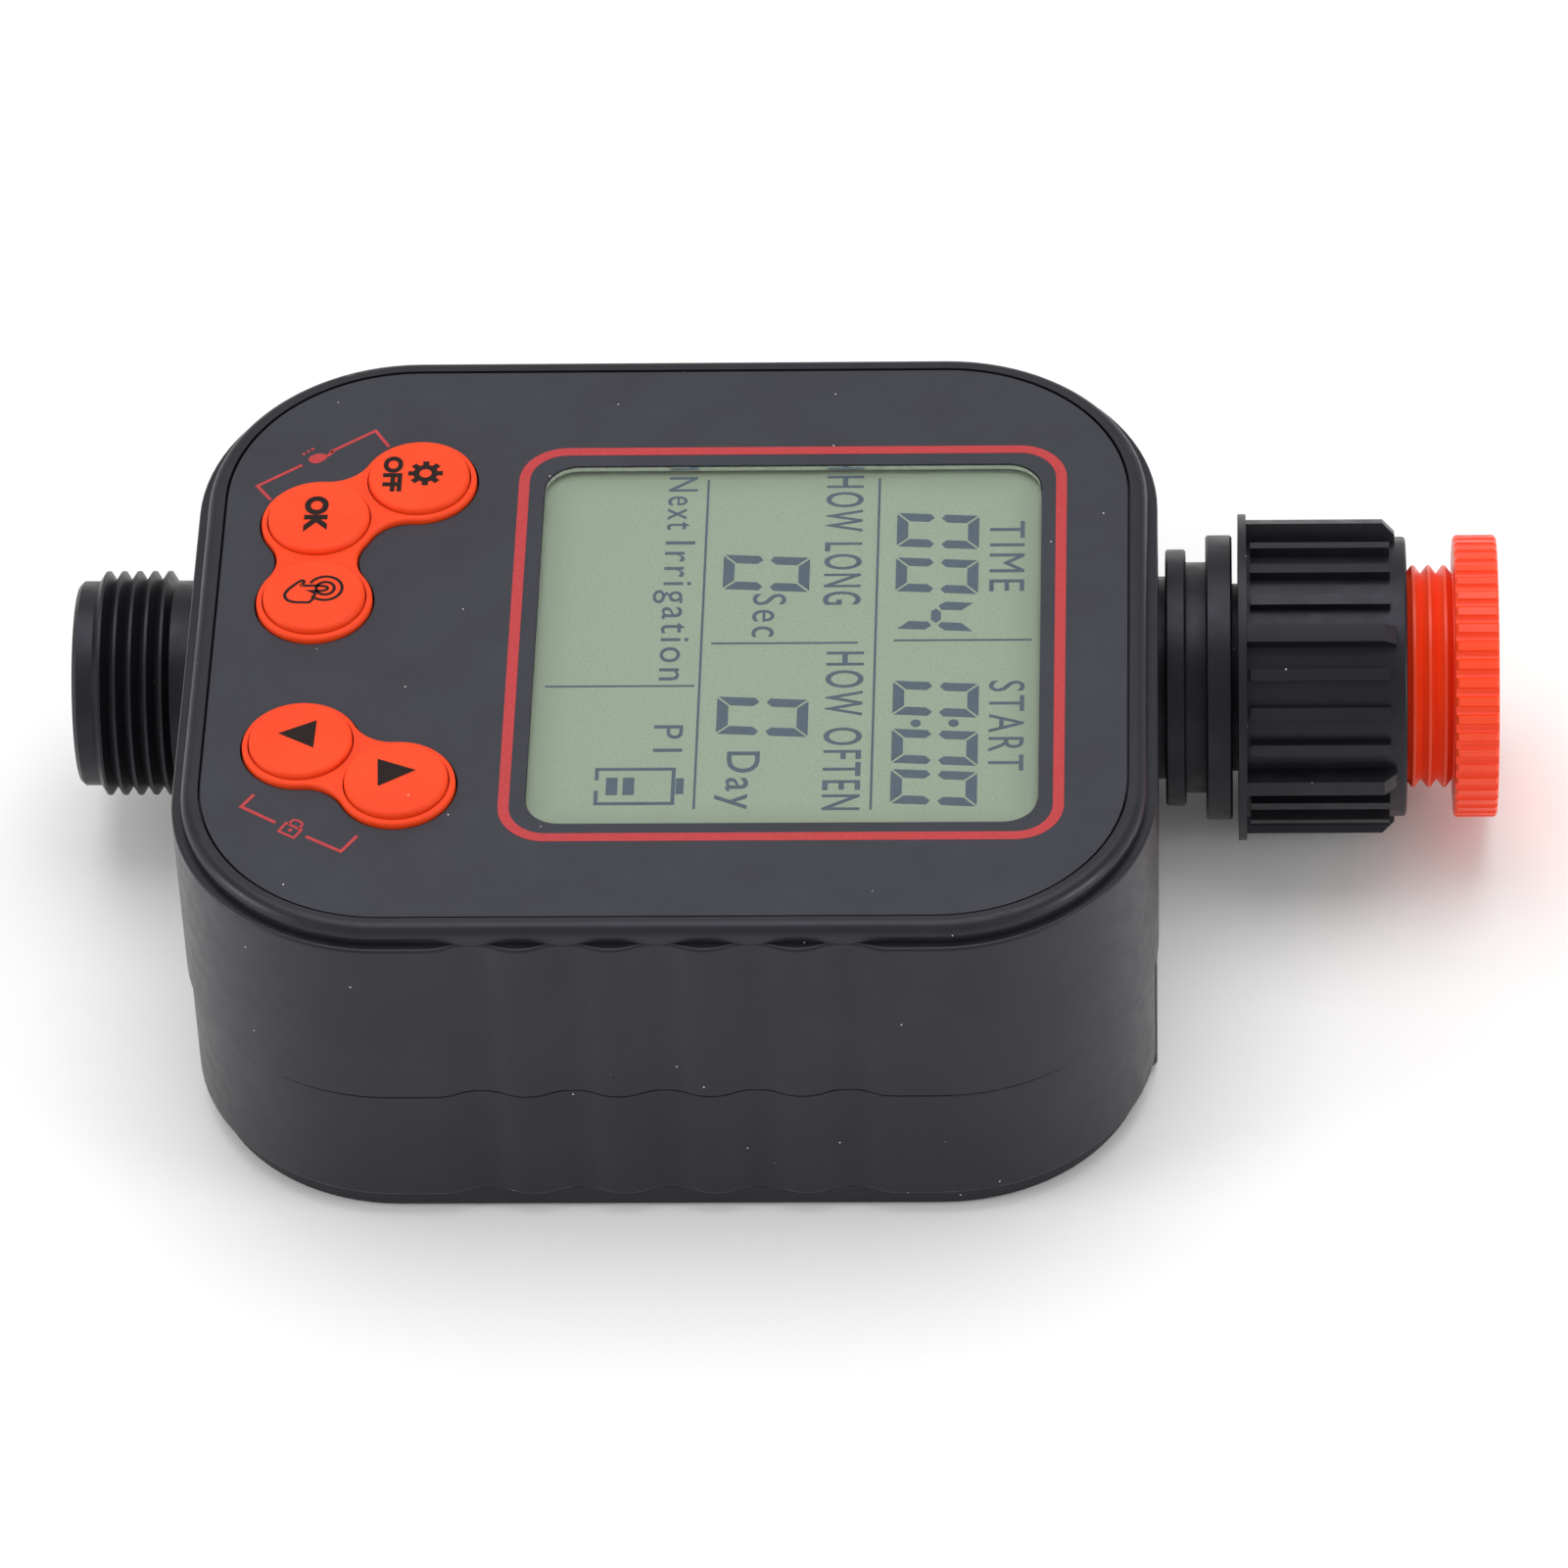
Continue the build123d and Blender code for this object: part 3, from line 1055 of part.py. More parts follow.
with BuildPart() as drawer_seal:
    with BuildSketch(Plane.YZ.offset(DRAWER_SEAL[0])):
        with Locations(BAY_MIDDLE):
            Rectangle(BAY_WIDTH - 0.12, BAY_TOP - BAY_Z - 0.12)
            Rectangle(*DRAWER_STEP, mode=Mode.SUBTRACT)
    extrude(amount=DRAWER_SEAL[1])
save(drawer_seal.part, "drawer_seal")

with BuildPart() as batteries:
    with BuildSketch(Plane.YZ.offset(CELL_START)):
        with Locations(*CELL_PLACES):
            Circle(CELL_RADIUS)
    extrude(amount=CELL_LENGTH - CELL_BUTTON[1])
    fillet(batteries.faces().sort_by(Axis.X)[-2:].edges(), 0.5)
    with BuildSketch(Plane.YZ.offset(CELL_START + CELL_LENGTH - CELL_BUTTON[1])):
        with Locations(*CELL_PLACES):
            Circle(CELL_BUTTON[0])
    extrude(amount=CELL_BUTTON[1])
save(batteries.part, "batteries")
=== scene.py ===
"""Drip irrigation timer: finishes, printed marks, display and studio round the CAD frame."""

import math

import bpy
from mathutils import Matrix, Quaternion, Vector


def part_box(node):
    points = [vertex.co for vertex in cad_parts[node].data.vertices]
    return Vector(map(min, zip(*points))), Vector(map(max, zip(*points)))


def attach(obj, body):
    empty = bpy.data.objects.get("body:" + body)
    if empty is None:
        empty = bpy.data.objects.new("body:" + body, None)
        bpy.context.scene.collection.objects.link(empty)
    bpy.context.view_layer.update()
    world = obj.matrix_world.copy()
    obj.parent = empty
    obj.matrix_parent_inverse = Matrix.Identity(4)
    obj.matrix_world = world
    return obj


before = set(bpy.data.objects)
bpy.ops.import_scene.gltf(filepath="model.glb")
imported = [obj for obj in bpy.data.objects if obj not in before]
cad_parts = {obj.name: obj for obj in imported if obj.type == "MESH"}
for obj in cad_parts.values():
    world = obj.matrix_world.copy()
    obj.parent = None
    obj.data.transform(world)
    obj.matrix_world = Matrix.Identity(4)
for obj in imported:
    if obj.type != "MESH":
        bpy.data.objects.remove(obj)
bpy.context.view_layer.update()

bl_info = {
    "name": "Drip Irrigation Timer",
    "version": (1, 0, 0),
    "blender": (4, 5, 0),
    "location": "View3D > Sidebar > Timer",
    "description": "Builds the finishes, printed marks and display of a drip irrigation timer",
    "category": "Object",
}

MM = 0.001

# --- Places, in millimetres -------------------------------------------------------------------
PLATE_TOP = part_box("face_plate")[1].z / MM
LCD_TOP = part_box("lcd_panel")[1].z / MM
KEY_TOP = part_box("key_ok")[1].z / MM
# Marks are drawn about the middle of the display window, which lies here on the face
FACE_Y = sum(corner.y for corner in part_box("display_window")) / 2 / MM
INK = 0.025  # thickness of a printed mark
SEGMENT_FILM = 0.04  # thickness of a mark under the display glass
SLANT = 0.06  # lean of the display figures, as a share of their height
FRAME_LOW, FRAME_HIGH = (-18.5, -32.3), (45.3, 32.55)  # corners of the line round the display
HAND_SIGN, PADLOCK_SIGN = (-42.34, 31.0), (-41.54, -30.1)
COG_CENTRE, TAP_SIGN = (-29.33, 26.8), (-41.35, 7.2)
SPECK_SPACING, SPECK_RADIUS = 1.5, 0.1  # dust: drawn coarser than the real thing, so it shows
# Painted shade on the display: it darkens between these distances from its edge, for the window
# frame's shadow.
EDGE_SHADE_START, EDGE_SHADE_END = 6.5, 1.0  # the display darkens between these distances from its edge
PLUS_BAND = 11.0  # copper-coloured end of a cell
FLOOR_GAP = 0.2  # the floor lies this far under the timer
CAMERA_AIM = (12.31, 0.37 + FACE_Y, 22.0)
CAMERA_DISTANCE = 1151.6
CAMERA_LENS, CAMERA_SENSOR = 227.69, 36.0

# --- Angles, in degrees, and tones ------------------------------------------------------------
CAMERA_TURN = (-3.397, 44.701, -2.665)  # azimuth, elevation and roll
SHEEN_TINT = "#ededff"
DUST_TONE = "#c9c9c4"
KEY_INK_TINT = "#22130f"


# --- Colours and shader nodes -------------------------------------------------------------------
def linear(code):
    """Linear RGBA of an sRGB hex colour."""
    parts = [int(code[i : i + 2], 16) / 255 for i in (1, 3, 5)]
    return [c / 12.92 if c <= 0.04045 else ((c + 0.055) / 1.055) ** 2.4 for c in parts] + [1.0]


def add_node(tree, kind, inputs=None, **settings):
    """Add a node, set its properties, and set or link its inputs."""
    node = tree.nodes.new(kind)
    for name, value in settings.items():
        setattr(node, name, value)
    for name, value in (inputs or {}).items():
        if isinstance(value, bpy.types.NodeSocket):
            tree.links.new(value, node.inputs[name])
        else:
            node.inputs[name].default_value = value
    return node


def new_material(name):
    """An empty node material: its tree, its surface shader and its object coordinates."""
    material = bpy.data.materials.new(name)
    material.use_nodes = True
    tree = material.node_tree
    tree.nodes.clear()
    shader = add_node(tree, "ShaderNodeBsdfPrincipled")
    add_node(tree, "ShaderNodeOutputMaterial", {"Surface": shader.outputs["BSDF"]})
    place = add_node(tree, "ShaderNodeTexCoord").outputs["Object"]
    return material, tree, shader, place


def two_tone(tree, factor, dark, light):
    """Colour that runs from dark to light with a factor."""
    ramp = add_node(tree, "ShaderNodeValToRGB", {"Fac": factor})
    ramp.color_ramp.elements[0].color = dark
    ramp.color_ramp.elements[1].color = light
    return ramp.outputs["Color"]


def clouds(tree, place, size_mm, detail=2.0):
    """Soft noise whose blotches are about size_mm across."""
    noise = add_node(
        tree, "ShaderNodeTexNoise", {"Vector": place, "Scale": 1000 / size_mm, "Detail": detail}
    )
    return noise.outputs["Fac"]


def span(tree, factor, low, high):
    """Noise factor stretched from its usual middle range to low..high."""
    mapped = add_node(
        tree,
        "ShaderNodeMapRange",
        {"Value": factor, "From Min": 0.3, "From Max": 0.7, "To Min": low, "To Max": high},
    )
    return mapped.outputs["Result"]


def dust_specks(tree, place, share):
    """1 on a few tiny specks, 0 elsewhere: one speck in a share of the cells of loose noise."""
    cells = add_node(
        tree, "ShaderNodeTexVoronoi", {"Vector": place, "Scale": 1000 / SPECK_SPACING}
    )
    near = add_node(
        tree, "ShaderNodeMath", {0: cells.outputs["Distance"], 1: SPECK_RADIUS / SPECK_SPACING},
        operation="LESS_THAN",
    )
    dice = add_node(tree, "ShaderNodeSeparateColor", {"Color": cells.outputs["Color"]})
    chosen = add_node(
        tree, "ShaderNodeMath", {0: dice.outputs["Red"], 1: share}, operation="LESS_THAN"
    )
    both = add_node(
        tree, "ShaderNodeMath", {0: near.outputs[0], 1: chosen.outputs[0]}, operation="MULTIPLY"
    )
    return both.outputs[0]


def grain_bump(tree, shader, place, size_mm, depth_mm):
    """Moulded grain as a bump of that size and depth."""
    grain = clouds(tree, place, size_mm, 3.0)
    bump = add_node(
        tree,
        "ShaderNodeBump",
        {"Height": grain, "Distance": depth_mm * MM, "Strength": 1.0},
    )
    tree.links.new(bump.outputs["Normal"], shader.inputs["Normal"])


def moulded(name, dark, light, rough, grain, specks=0.0, ior=1.5, sheen=0.5):
    """A moulded plastic: blotchy colour, uneven gloss, grain (size, depth) and dust specks."""
    material, tree, shader, place = new_material(name)
    blotch = clouds(tree, place, 9.0, 4.0)
    colour = two_tone(tree, span(tree, blotch, 0.0, 1.0), linear(dark), linear(light))
    if specks:
        dust = dust_specks(tree, place, specks)
        mix = add_node(tree, "ShaderNodeMix", data_type="RGBA")
        tree.links.new(dust, mix.inputs["Factor"])
        tree.links.new(colour, mix.inputs[6])
        mix.inputs[7].default_value = linear(DUST_TONE)
        colour = mix.outputs[2]
    tree.links.new(colour, shader.inputs["Base Color"])
    gloss = clouds(tree, place, 2.2, 3.0)
    tree.links.new(span(tree, gloss, rough[0], rough[1]), shader.inputs["Roughness"])
    shader.inputs["IOR"].default_value = ior
    shader.inputs["Specular IOR Level"].default_value = sheen
    shader.inputs["Specular Tint"].default_value = linear(SHEEN_TINT)
    grain_bump(tree, shader, place, *grain)
    return material


def spark_eroded_abs(settings):
    """ABS housing, moulded in a spark-eroded tool: satin, near black, with a fine even grain."""
    return moulded(
        "spark_eroded_abs", settings.shade, settings.tint, (0.33, 0.41), (0.34, 0.005),
        specks=0.04, sheen=0.38,
    )


def screen_printed_overlay(settings):
    """Polycarbonate overlay with a matte dark print: finer grain than the housing, softer gloss."""
    return moulded(
        "screen_printed_overlay", settings.plate_shade, settings.plate_tint,
        (0.46, 0.56), (0.22, 0.003), specks=0.05, sheen=0.34,
    )


def keypad_silicone(settings):
    """Pigmented silicone rubber: soft sheen, light bleeding just under the surface."""
    material = moulded(
        "keypad_silicone", settings.rubber_shade, settings.rubber_tint,
        (0.46, 0.58), (0.28, 0.008), specks=0.05, ior=1.43, sheen=0.3,
    )
    shader = next(n for n in material.node_tree.nodes if n.type == "BSDF_PRINCIPLED")
    shader.inputs["Subsurface Weight"].default_value = 0.12
    shader.inputs["Subsurface Scale"].default_value = 0.5 * MM
    shader.inputs["Subsurface Radius"].default_value = (1.0, 0.35, 0.2)
    return material


def glossy_polypropylene(settings):
    """Orange polypropylene of the reducer: slippery sheen with faint flow blotches."""
    return moulded(
        "glossy_polypropylene", settings.reducer_shade, settings.reducer_tint,
        (0.28, 0.38), (0.5, 0.006), ior=1.49, sheen=0.4,
    )


def glass_filled_nylon(settings):
    """Black glass-filled nylon of nut and pipes: matte with a slight drag grain."""
    return moulded(
        "glass_filled_nylon", settings.nylon_shade, settings.nylon_tint,
        (0.34, 0.46), (0.4, 0.008), specks=0.06, ior=1.53, sheen=0.33,
    )


def natural_acetal():
    """White acetal of the gears and valve seats: milky, slightly greasy sheen."""
    return moulded("natural_acetal", "#d9d6cc", "#ece9e0", (0.3, 0.4), (0.3, 0.003), ior=1.48)


def polycarbonate_frame():
    """Grey polycarbonate of the gearbox frame: matte tool marks."""
    return moulded("polycarbonate_frame", "#8b8f94", "#9da1a6", (0.4, 0.5), (0.3, 0.004))


def black_inner_abs():
    """Plain black ABS of hidden holders: coarser, duller mouldings."""
    return moulded("black_inner_abs", "#1a1a1c", "#242427", (0.5, 0.62), (0.5, 0.008))


def seal_rubber():
    """Nitrile rubber: dull black with a talc bloom."""
    return moulded("nitrile_rubber", "#141414", "#262625", (0.6, 0.75), (0.25, 0.01), ior=1.52)


def conductive_strip():
    """Layered contact rubber: fine dark and pale stripes along the strip."""
    material, tree, shader, place = new_material("layered_contact_rubber")
    wave = add_node(
        tree, "ShaderNodeTexWave", {"Vector": place, "Scale": 1000 / 2.5, "Distortion": 0.2},
        bands_direction="X",
    )
    colour = two_tone(tree, wave.outputs["Fac"], linear("#1c1c1e"), linear("#8d8a84"))
    tree.links.new(colour, shader.inputs["Base Color"])
    tree.links.new(
        span(tree, clouds(tree, place, 1.0), 0.55, 0.7), shader.inputs["Roughness"]
    )
    return material


def clear_acrylic():
    """Clear acrylic display window: water clear, with faint wipe marks in its gloss."""
    material, tree, shader, place = new_material("clear_acrylic")
    shader.inputs["Base Color"].default_value = (1, 1, 1, 1)
    shader.inputs["Transmission Weight"].default_value = 1.0
    shader.inputs["IOR"].default_value = 1.49
    wipe = clouds(tree, place, 6.0, 5.0)
    tree.links.new(span(tree, wipe, 0.01, 0.05), shader.inputs["Roughness"])
    return material


def lcd_background(settings):
    """Reflective LCD stack behind glass: pearly grey green, with painted shade darkening it towards
    its borders.
    """
    material, tree, shader, place = new_material("reflective_lcd")
    low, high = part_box("lcd_panel")
    middle = (low + high) / 2
    parts = add_node(tree, "ShaderNodeSeparateXYZ", {"Vector": place})
    # Painted shade: the colour darkens near the panel's edges, standing in for the shadow the
    # window frame casts on the sunken display.
    edge_shades = []
    for axis, half in (("X", (high.x - low.x) / 2), ("Y", (high.y - low.y) / 2)):
        centre = getattr(middle, axis.lower())
        away = add_node(
            tree, "ShaderNodeMath", {0: parts.outputs[axis], 1: centre}, operation="SUBTRACT"
        )
        size = add_node(tree, "ShaderNodeMath", {0: away.outputs[0]}, operation="ABSOLUTE")
        edge = add_node(
            tree,
            "ShaderNodeMapRange",
            {
                "Value": size.outputs[0], "From Min": half - EDGE_SHADE_START * MM,
                "From Max": half - EDGE_SHADE_END * MM,
            },
            interpolation_type="SMOOTHSTEP",
        )
        edge_shades.append(edge.outputs["Result"])
    edge_shade = add_node(
        tree, "ShaderNodeMath", {0: edge_shades[0], 1: edge_shades[1]}, operation="MAXIMUM"
    )
    pearl = clouds(tree, place, 0.35, 2.0)
    face = two_tone(
        tree, span(tree, pearl, 0.0, 1.0), linear(settings.lcd_shade), linear(settings.lcd_tint)
    )
    # Mix in the painted edge shade tone.
    mix = add_node(tree, "ShaderNodeMix", data_type="RGBA")
    tree.links.new(edge_shade.outputs[0], mix.inputs["Factor"])
    tree.links.new(face, mix.inputs[6])
    mix.inputs[7].default_value = linear(settings.lcd_edge_shade)
    tree.links.new(mix.outputs[2], shader.inputs["Base Color"])
    tree.links.new(span(tree, pearl, 0.35, 0.5), shader.inputs["Roughness"])
    return material


def printed_ink(name, dark, light, rough):
    """Screen-printed ink: thin, slightly mottled where the mesh laid it down."""
    material, tree, shader, place = new_material(name)
    mottle = clouds(tree, place, 0.45, 3.0)
    colour = two_tone(tree, span(tree, mottle, 0.0, 1.0), linear(dark), linear(light))
    tree.links.new(colour, shader.inputs["Base Color"])
    tree.links.new(span(tree, mottle, rough - 0.06, rough + 0.06), shader.inputs["Roughness"])
    shader.inputs["Specular IOR Level"].default_value = 0.25
    return material


def plated_metal(name, dark, light, rough, lay_mm):
    """Metal with a plated or drawn surface: streaks along its lay vary the gloss."""
    material, tree, shader, place = new_material(name)
    streak = clouds(tree, place, lay_mm, 4.0)
    colour = two_tone(tree, span(tree, streak, 0.0, 1.0), linear(dark), linear(light))
    tree.links.new(colour, shader.inputs["Base Color"])
    tree.links.new(span(tree, streak, rough[0], rough[1]), shader.inputs["Roughness"])
    shader.inputs["Metallic"].default_value = 1.0
    bump = add_node(
        tree, "ShaderNodeBump", {"Height": streak, "Distance": 0.004 * MM, "Strength": 1.0}
    )
    tree.links.new(bump.outputs["Normal"], shader.inputs["Normal"])
    return material


def solder_mask():
    """Green solder mask over etched copper: tracks show as raised paler lines."""
    material, tree, shader, place = new_material("solder_mask_board")
    brick = add_node(
        tree,
        "ShaderNodeTexBrick",
        {
            "Vector": place, "Scale": 1000 / 8.0, "Mortar Size": 0.045, "Brick Width": 0.9,
            "Row Height": 0.22, "Color1": linear("#1c5a34"), "Color2": linear("#1f6138"),
            "Mortar": linear("#2f7d49"),
        },
    )
    tree.links.new(brick.outputs["Color"], shader.inputs["Base Color"])
    tree.links.new(
        span(tree, clouds(tree, place, 3.0), 0.25, 0.35), shader.inputs["Roughness"]
    )
    bump = add_node(
        tree,
        "ShaderNodeBump",
        {"Height": brick.outputs["Fac"], "Distance": 0.03 * MM, "Strength": 1.0},
    )
    tree.links.new(bump.outputs["Normal"], shader.inputs["Normal"])
    return material


def battery_foil():
    """Printed shrink sleeve of the cells: dark body, copper-coloured band at the plus end."""
    material, tree, shader, place = new_material("battery_shrink_sleeve")
    parts = add_node(tree, "ShaderNodeSeparateXYZ", {"Vector": place})
    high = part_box("batteries")[1].x
    band = add_node(
        tree, "ShaderNodeMath", {0: parts.outputs["X"], 1: high - PLUS_BAND * MM},
        operation="GREATER_THAN",
    )
    mix = add_node(tree, "ShaderNodeMix", data_type="RGBA")
    tree.links.new(band.outputs[0], mix.inputs["Factor"])
    mix.inputs[6].default_value = linear("#26282c")
    mix.inputs[7].default_value = linear("#b87745")
    tree.links.new(mix.outputs[2], shader.inputs["Base Color"])
    tree.links.new(span(tree, clouds(tree, place, 3.0), 0.2, 0.32), shader.inputs["Roughness"])
    shader.inputs["Metallic"].default_value = 0.35
    return material


def woven_steel():
    """Stainless filter gauze: square weave, drawn as coarse as it needs to show, with painted shade
    in the openings between the wires.
    """
    material, tree, shader, place = new_material("woven_steel_gauze")
    height = None
    for direction in ("Y", "Z"):
        wave = add_node(
            tree, "ShaderNodeTexWave", {"Vector": place, "Scale": 1000 / 3.6},
            bands_direction=direction,
        )
        if height is None:
            height = wave.outputs["Fac"]
        else:
            top = add_node(
                tree, "ShaderNodeMath", {0: height, 1: wave.outputs["Fac"]}, operation="MAXIMUM"
            )
            height = top.outputs[0]
    # Painted shade: the colour runs dark where the weave lies low, in the openings between the
    # wires.
    colour = two_tone(tree, height, linear("#2b2d30"), linear("#b8bcc0"))
    tree.links.new(colour, shader.inputs["Base Color"])
    tree.links.new(span(tree, height, 0.35, 0.5), shader.inputs["Roughness"])
    shader.inputs["Metallic"].default_value = 0.8
    bump = add_node(
        tree, "ShaderNodeBump", {"Height": height, "Distance": 0.1 * MM, "Strength": 1.0}
    )
    tree.links.new(bump.outputs["Normal"], shader.inputs["Normal"])
    return material


def dress(material, *nodes):
    """Give CAD nodes a finish by their material slots."""
    for name in nodes:
        for material_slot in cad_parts[name].material_slots:
            material_slot.material = material


# --- Flat printed marks -------------------------------------------------------------------------
def circle(centre, radius, count=32):
    """Outline of a circle."""
    turns = [2 * math.pi * i / count for i in range(count)]
    return [(centre[0] + radius * math.cos(t), centre[1] + radius * math.sin(t)) for t in turns]


def placed(points, centre, turn=0.0):
    """Points turned by an angle in degrees and moved to a centre."""
    c, s = math.cos(math.radians(turn)), math.sin(math.radians(turn))
    return [(centre[0] + x * c - y * s, centre[1] + x * s + y * c) for x, y in points]


def softened(path, closed=False, rounds=2):
    """A path with its corners cut, round after round, into a smooth line."""
    for _ in range(rounds):
        pairs = list(zip(path, path[1:] + path[:1])) if closed else list(zip(path, path[1:]))
        cut = [] if closed else [path[0]]
        for (ax, ay), (bx, by) in pairs:
            cut += [(0.75 * ax + 0.25 * bx, 0.75 * ay + 0.25 * by)]
            cut += [(0.25 * ax + 0.75 * bx, 0.25 * ay + 0.75 * by)]
        path = cut if closed else cut + [path[-1]]
    return path


def stroke(path, width, closed=False):
    """Outlines of a line of that width along a path, mitred at corners; a closed one has two."""
    points = [Vector(p) for p in path]
    left, right = [], []
    for index, here in enumerate(points):
        ways = []
        if closed or index:
            ways.append((here - points[index - 1]).normalized())
        if closed or index < len(points) - 1:
            ways.append((points[(index + 1) % len(points)] - here).normalized())
        mean = (ways[0] + ways[-1]).normalized()
        across = Vector((-mean.y, mean.x))
        reach = width / 2 / max(0.3, across.dot(Vector((-ways[0].y, ways[0].x))))
        left.append(tuple(here + across * reach))
        right.append(tuple(here - across * reach))
    if closed:
        return [left, right]
    return [left + right[::-1]]


def only(piece):
    """Select one object and make it active."""
    bpy.ops.object.select_all(action="DESELECT")
    piece.select_set(True)
    bpy.context.view_layer.objects.active = piece


def finished(piece, name, material, body):
    """Name a piece, leave its place in its mesh, give it its finish and set it on its body."""
    only(piece)
    bpy.ops.object.transform_apply(location=True, rotation=True, scale=True)
    piece.name = name
    piece.data.name = name
    piece.data.materials.clear()
    piece.data.materials.append(material)
    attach(piece, body)
    return piece


def flat_mark(outlines, level, thickness=INK):
    """Closed outlines in millimetres, filled and lying as a thin film on a level."""
    curve = bpy.data.curves.new("mark", "CURVE")
    curve.dimensions = "2D"
    curve.fill_mode = "BOTH"
    curve.extrude = thickness * MM / 2
    for outline in outlines:
        spline = curve.splines.new("POLY")
        spline.points.add(len(outline) - 1)
        for point, (x, y) in zip(spline.points, outline):
            point.co = (x * MM, y * MM, 0, 1)
        spline.use_cyclic_u = True
    mark = bpy.data.objects.new("mark", curve)
    bpy.context.scene.collection.objects.link(mark)
    only(mark)
    bpy.ops.object.convert(target="MESH")
    mark.location = (0, FACE_Y * MM, (level + thickness / 2) * MM)
    clean(mark)
    return mark


def clean(piece):
    """Merge doubles and turn faces outwards."""
    only(piece)
    bpy.ops.object.mode_set(mode="EDIT")
    bpy.ops.mesh.select_all(action="SELECT")
    bpy.ops.mesh.remove_doubles(threshold=1e-7)
    bpy.ops.mesh.normals_make_consistent(inside=False)
    bpy.ops.object.mode_set(mode="OBJECT")


def joined(pieces):
    """Join pieces into the first one."""
    only(pieces[0])
    for piece in pieces:
        piece.select_set(True)
    bpy.ops.object.join()
    return pieces[0]


def lettering(text, x_range, y_range, level, thickness=INK, weight=0.0, spacing=1.0):
    """Text with its top towards +X, read towards -Y, scaled to fill the given ranges."""
    bpy.ops.object.select_all(action="DESELECT")
    bpy.ops.object.text_add()
    words = bpy.context.object
    words.data.body = text
    words.data.size = 5 * MM
    words.data.offset = weight * MM
    words.data.space_character = spacing
    words.data.extrude = thickness * MM / 2
    words.data.resolution_u = 4
    bpy.ops.object.convert(target="MESH")
    words = bpy.context.object
    corners = [Vector(c) for c in words.bound_box]
    low = Vector(min(c[i] for c in corners) for i in range(3))
    high = Vector(max(c[i] for c in corners) for i in range(3))
    length = (y_range[1] - y_range[0]) * MM
    height = (x_range[1] - x_range[0]) * MM
    fit = Matrix.Diagonal((length / (high.x - low.x), height / (high.y - low.y), 1, 1))
    to_corner = Matrix.Translation((-low.x, -low.y, 0))
    quarter = Matrix.Rotation(-math.pi / 2, 4, "Z")
    corner = Matrix.Translation(
        (x_range[0] * MM, (y_range[1] + FACE_Y) * MM, (level + thickness / 2) * MM)
    )
    words.matrix_world = corner @ quarter @ fit @ to_corner
    clean(words)
    return words


# --- Seven-segment figures ----------------------------------------------------------------------
def segment_figure(x_range, y_range, thick, lit="abcdef"):
    """Outlines of a seven-segment figure whose top is towards +X, read towards -Y."""
    height = x_range[1] - x_range[0]
    width = y_range[1] - y_range[0]
    half = height / 2
    gap = 0.2
    waist = half - 0.42
    shapes = {
        "a": [(gap, 0), (width - gap, 0), (width - gap - thick, thick), (gap + thick, thick)],
        "b": [
            (width, gap), (width, waist - thick / 3), (width - thick / 2, waist),
            (width - thick, waist - thick / 2), (width - thick, gap + thick),
        ],
    }
    shapes["c"] = [(x, height - y) for x, y in shapes["b"]]
    shapes["d"] = [(x, height - y) for x, y in shapes["a"]]
    shapes["e"] = [(width - x, height - y) for x, y in shapes["b"]]
    shapes["f"] = [(width - x, y) for x, y in shapes["b"]]
    outlines = [[(x_range[1] - y, y_range[1] - x) for x, y in shapes[key]] for key in lit]
    return [slanted(outline, x_range) for outline in outlines]


def slanted(outline, x_range):
    """Outline leaning towards the end of its line, about the figure's middle."""
    middle = (x_range[0] + x_range[1]) / 2
    return [(x, y - SLANT * (x - middle)) for x, y in outline]


def narrow_four(x_range, y_range, thick):
    """A narrow figure four: two upper strokes, a middle bar and a lower stroke."""
    top, bottom = x_range[1], x_range[0]
    left, right = y_range[1], y_range[0]
    middle = (top + bottom) / 2
    inner = middle + 0.65
    upper_left = [
        (top, left), (top - 1.3, left - thick), (inner, left - thick),
        (inner - 0.3, left - thick / 2), (inner + 0.5, left),
    ]
    upper_right = [
        (top, right), (top - 1.3, right + thick), (inner, right + thick),
        (inner - 0.3, right + thick / 2), (inner + 0.5, right),
    ]
    lower_right = [
        (bottom, right), (bottom + 1.3, right + thick), (middle - 0.8, right + thick),
        (middle - 0.45, right + thick / 2), (middle - 1.2, right),
    ]
    bar_left, bar_right = left - thick * 0.9, right + thick * 0.9
    bar = [
        (middle + 0.1, bar_left), (middle + 0.65, bar_left - 0.6), (middle + 0.65, bar_right + 0.6),
        (middle + 0.1, bar_right), (middle - 0.5, bar_right + 0.5), (middle - 0.5, bar_left - 0.5),
    ]
    return [slanted(o, x_range) for o in (upper_left, upper_right, lower_right, bar)]


# --- Settings -----------------------------------------------------------------------------------
def colour_property(name, code, description):
    return bpy.props.StringProperty(name=name, default=code, description=description)


class TimerCaseSettings(bpy.types.PropertyGroup):
    """Colours of the housing and its face."""

    shade: colour_property("Case shade", "#161619", "Darker tone of the housing plastic")
    tint: colour_property("Case tint", "#1c1c20", "Lighter tone of the housing plastic")
    plate_shade: colour_property("Face shade", "#2d2e33", "Darker tone of the face overlay")
    plate_tint: colour_property("Face tint", "#33343a", "Lighter tone of the face overlay")


class TimerPrintSettings(bpy.types.PropertyGroup):
    """Sizes and colour of the red print on the face."""

    ink_shade: colour_property("Ink shade", "#b03437", "Darker tone of the red ink")
    ink_tint: colour_property("Ink tint", "#bb3f42", "Lighter tone of the red ink")
    frame_line: bpy.props.FloatProperty(
        name="Frame line", default=1.25 * MM, unit="LENGTH",
        description="Width of the line round the display",
    )
    frame_corner: bpy.props.FloatProperty(
        name="Frame corner", default=5.5 * MM, unit="LENGTH",
        description="Outer corner radius of the line round the display",
    )
    bracket_line: bpy.props.FloatProperty(
        name="Bracket line", default=0.4 * MM, unit="LENGTH",
        description="Width of the thin lines that link two keys",
    )


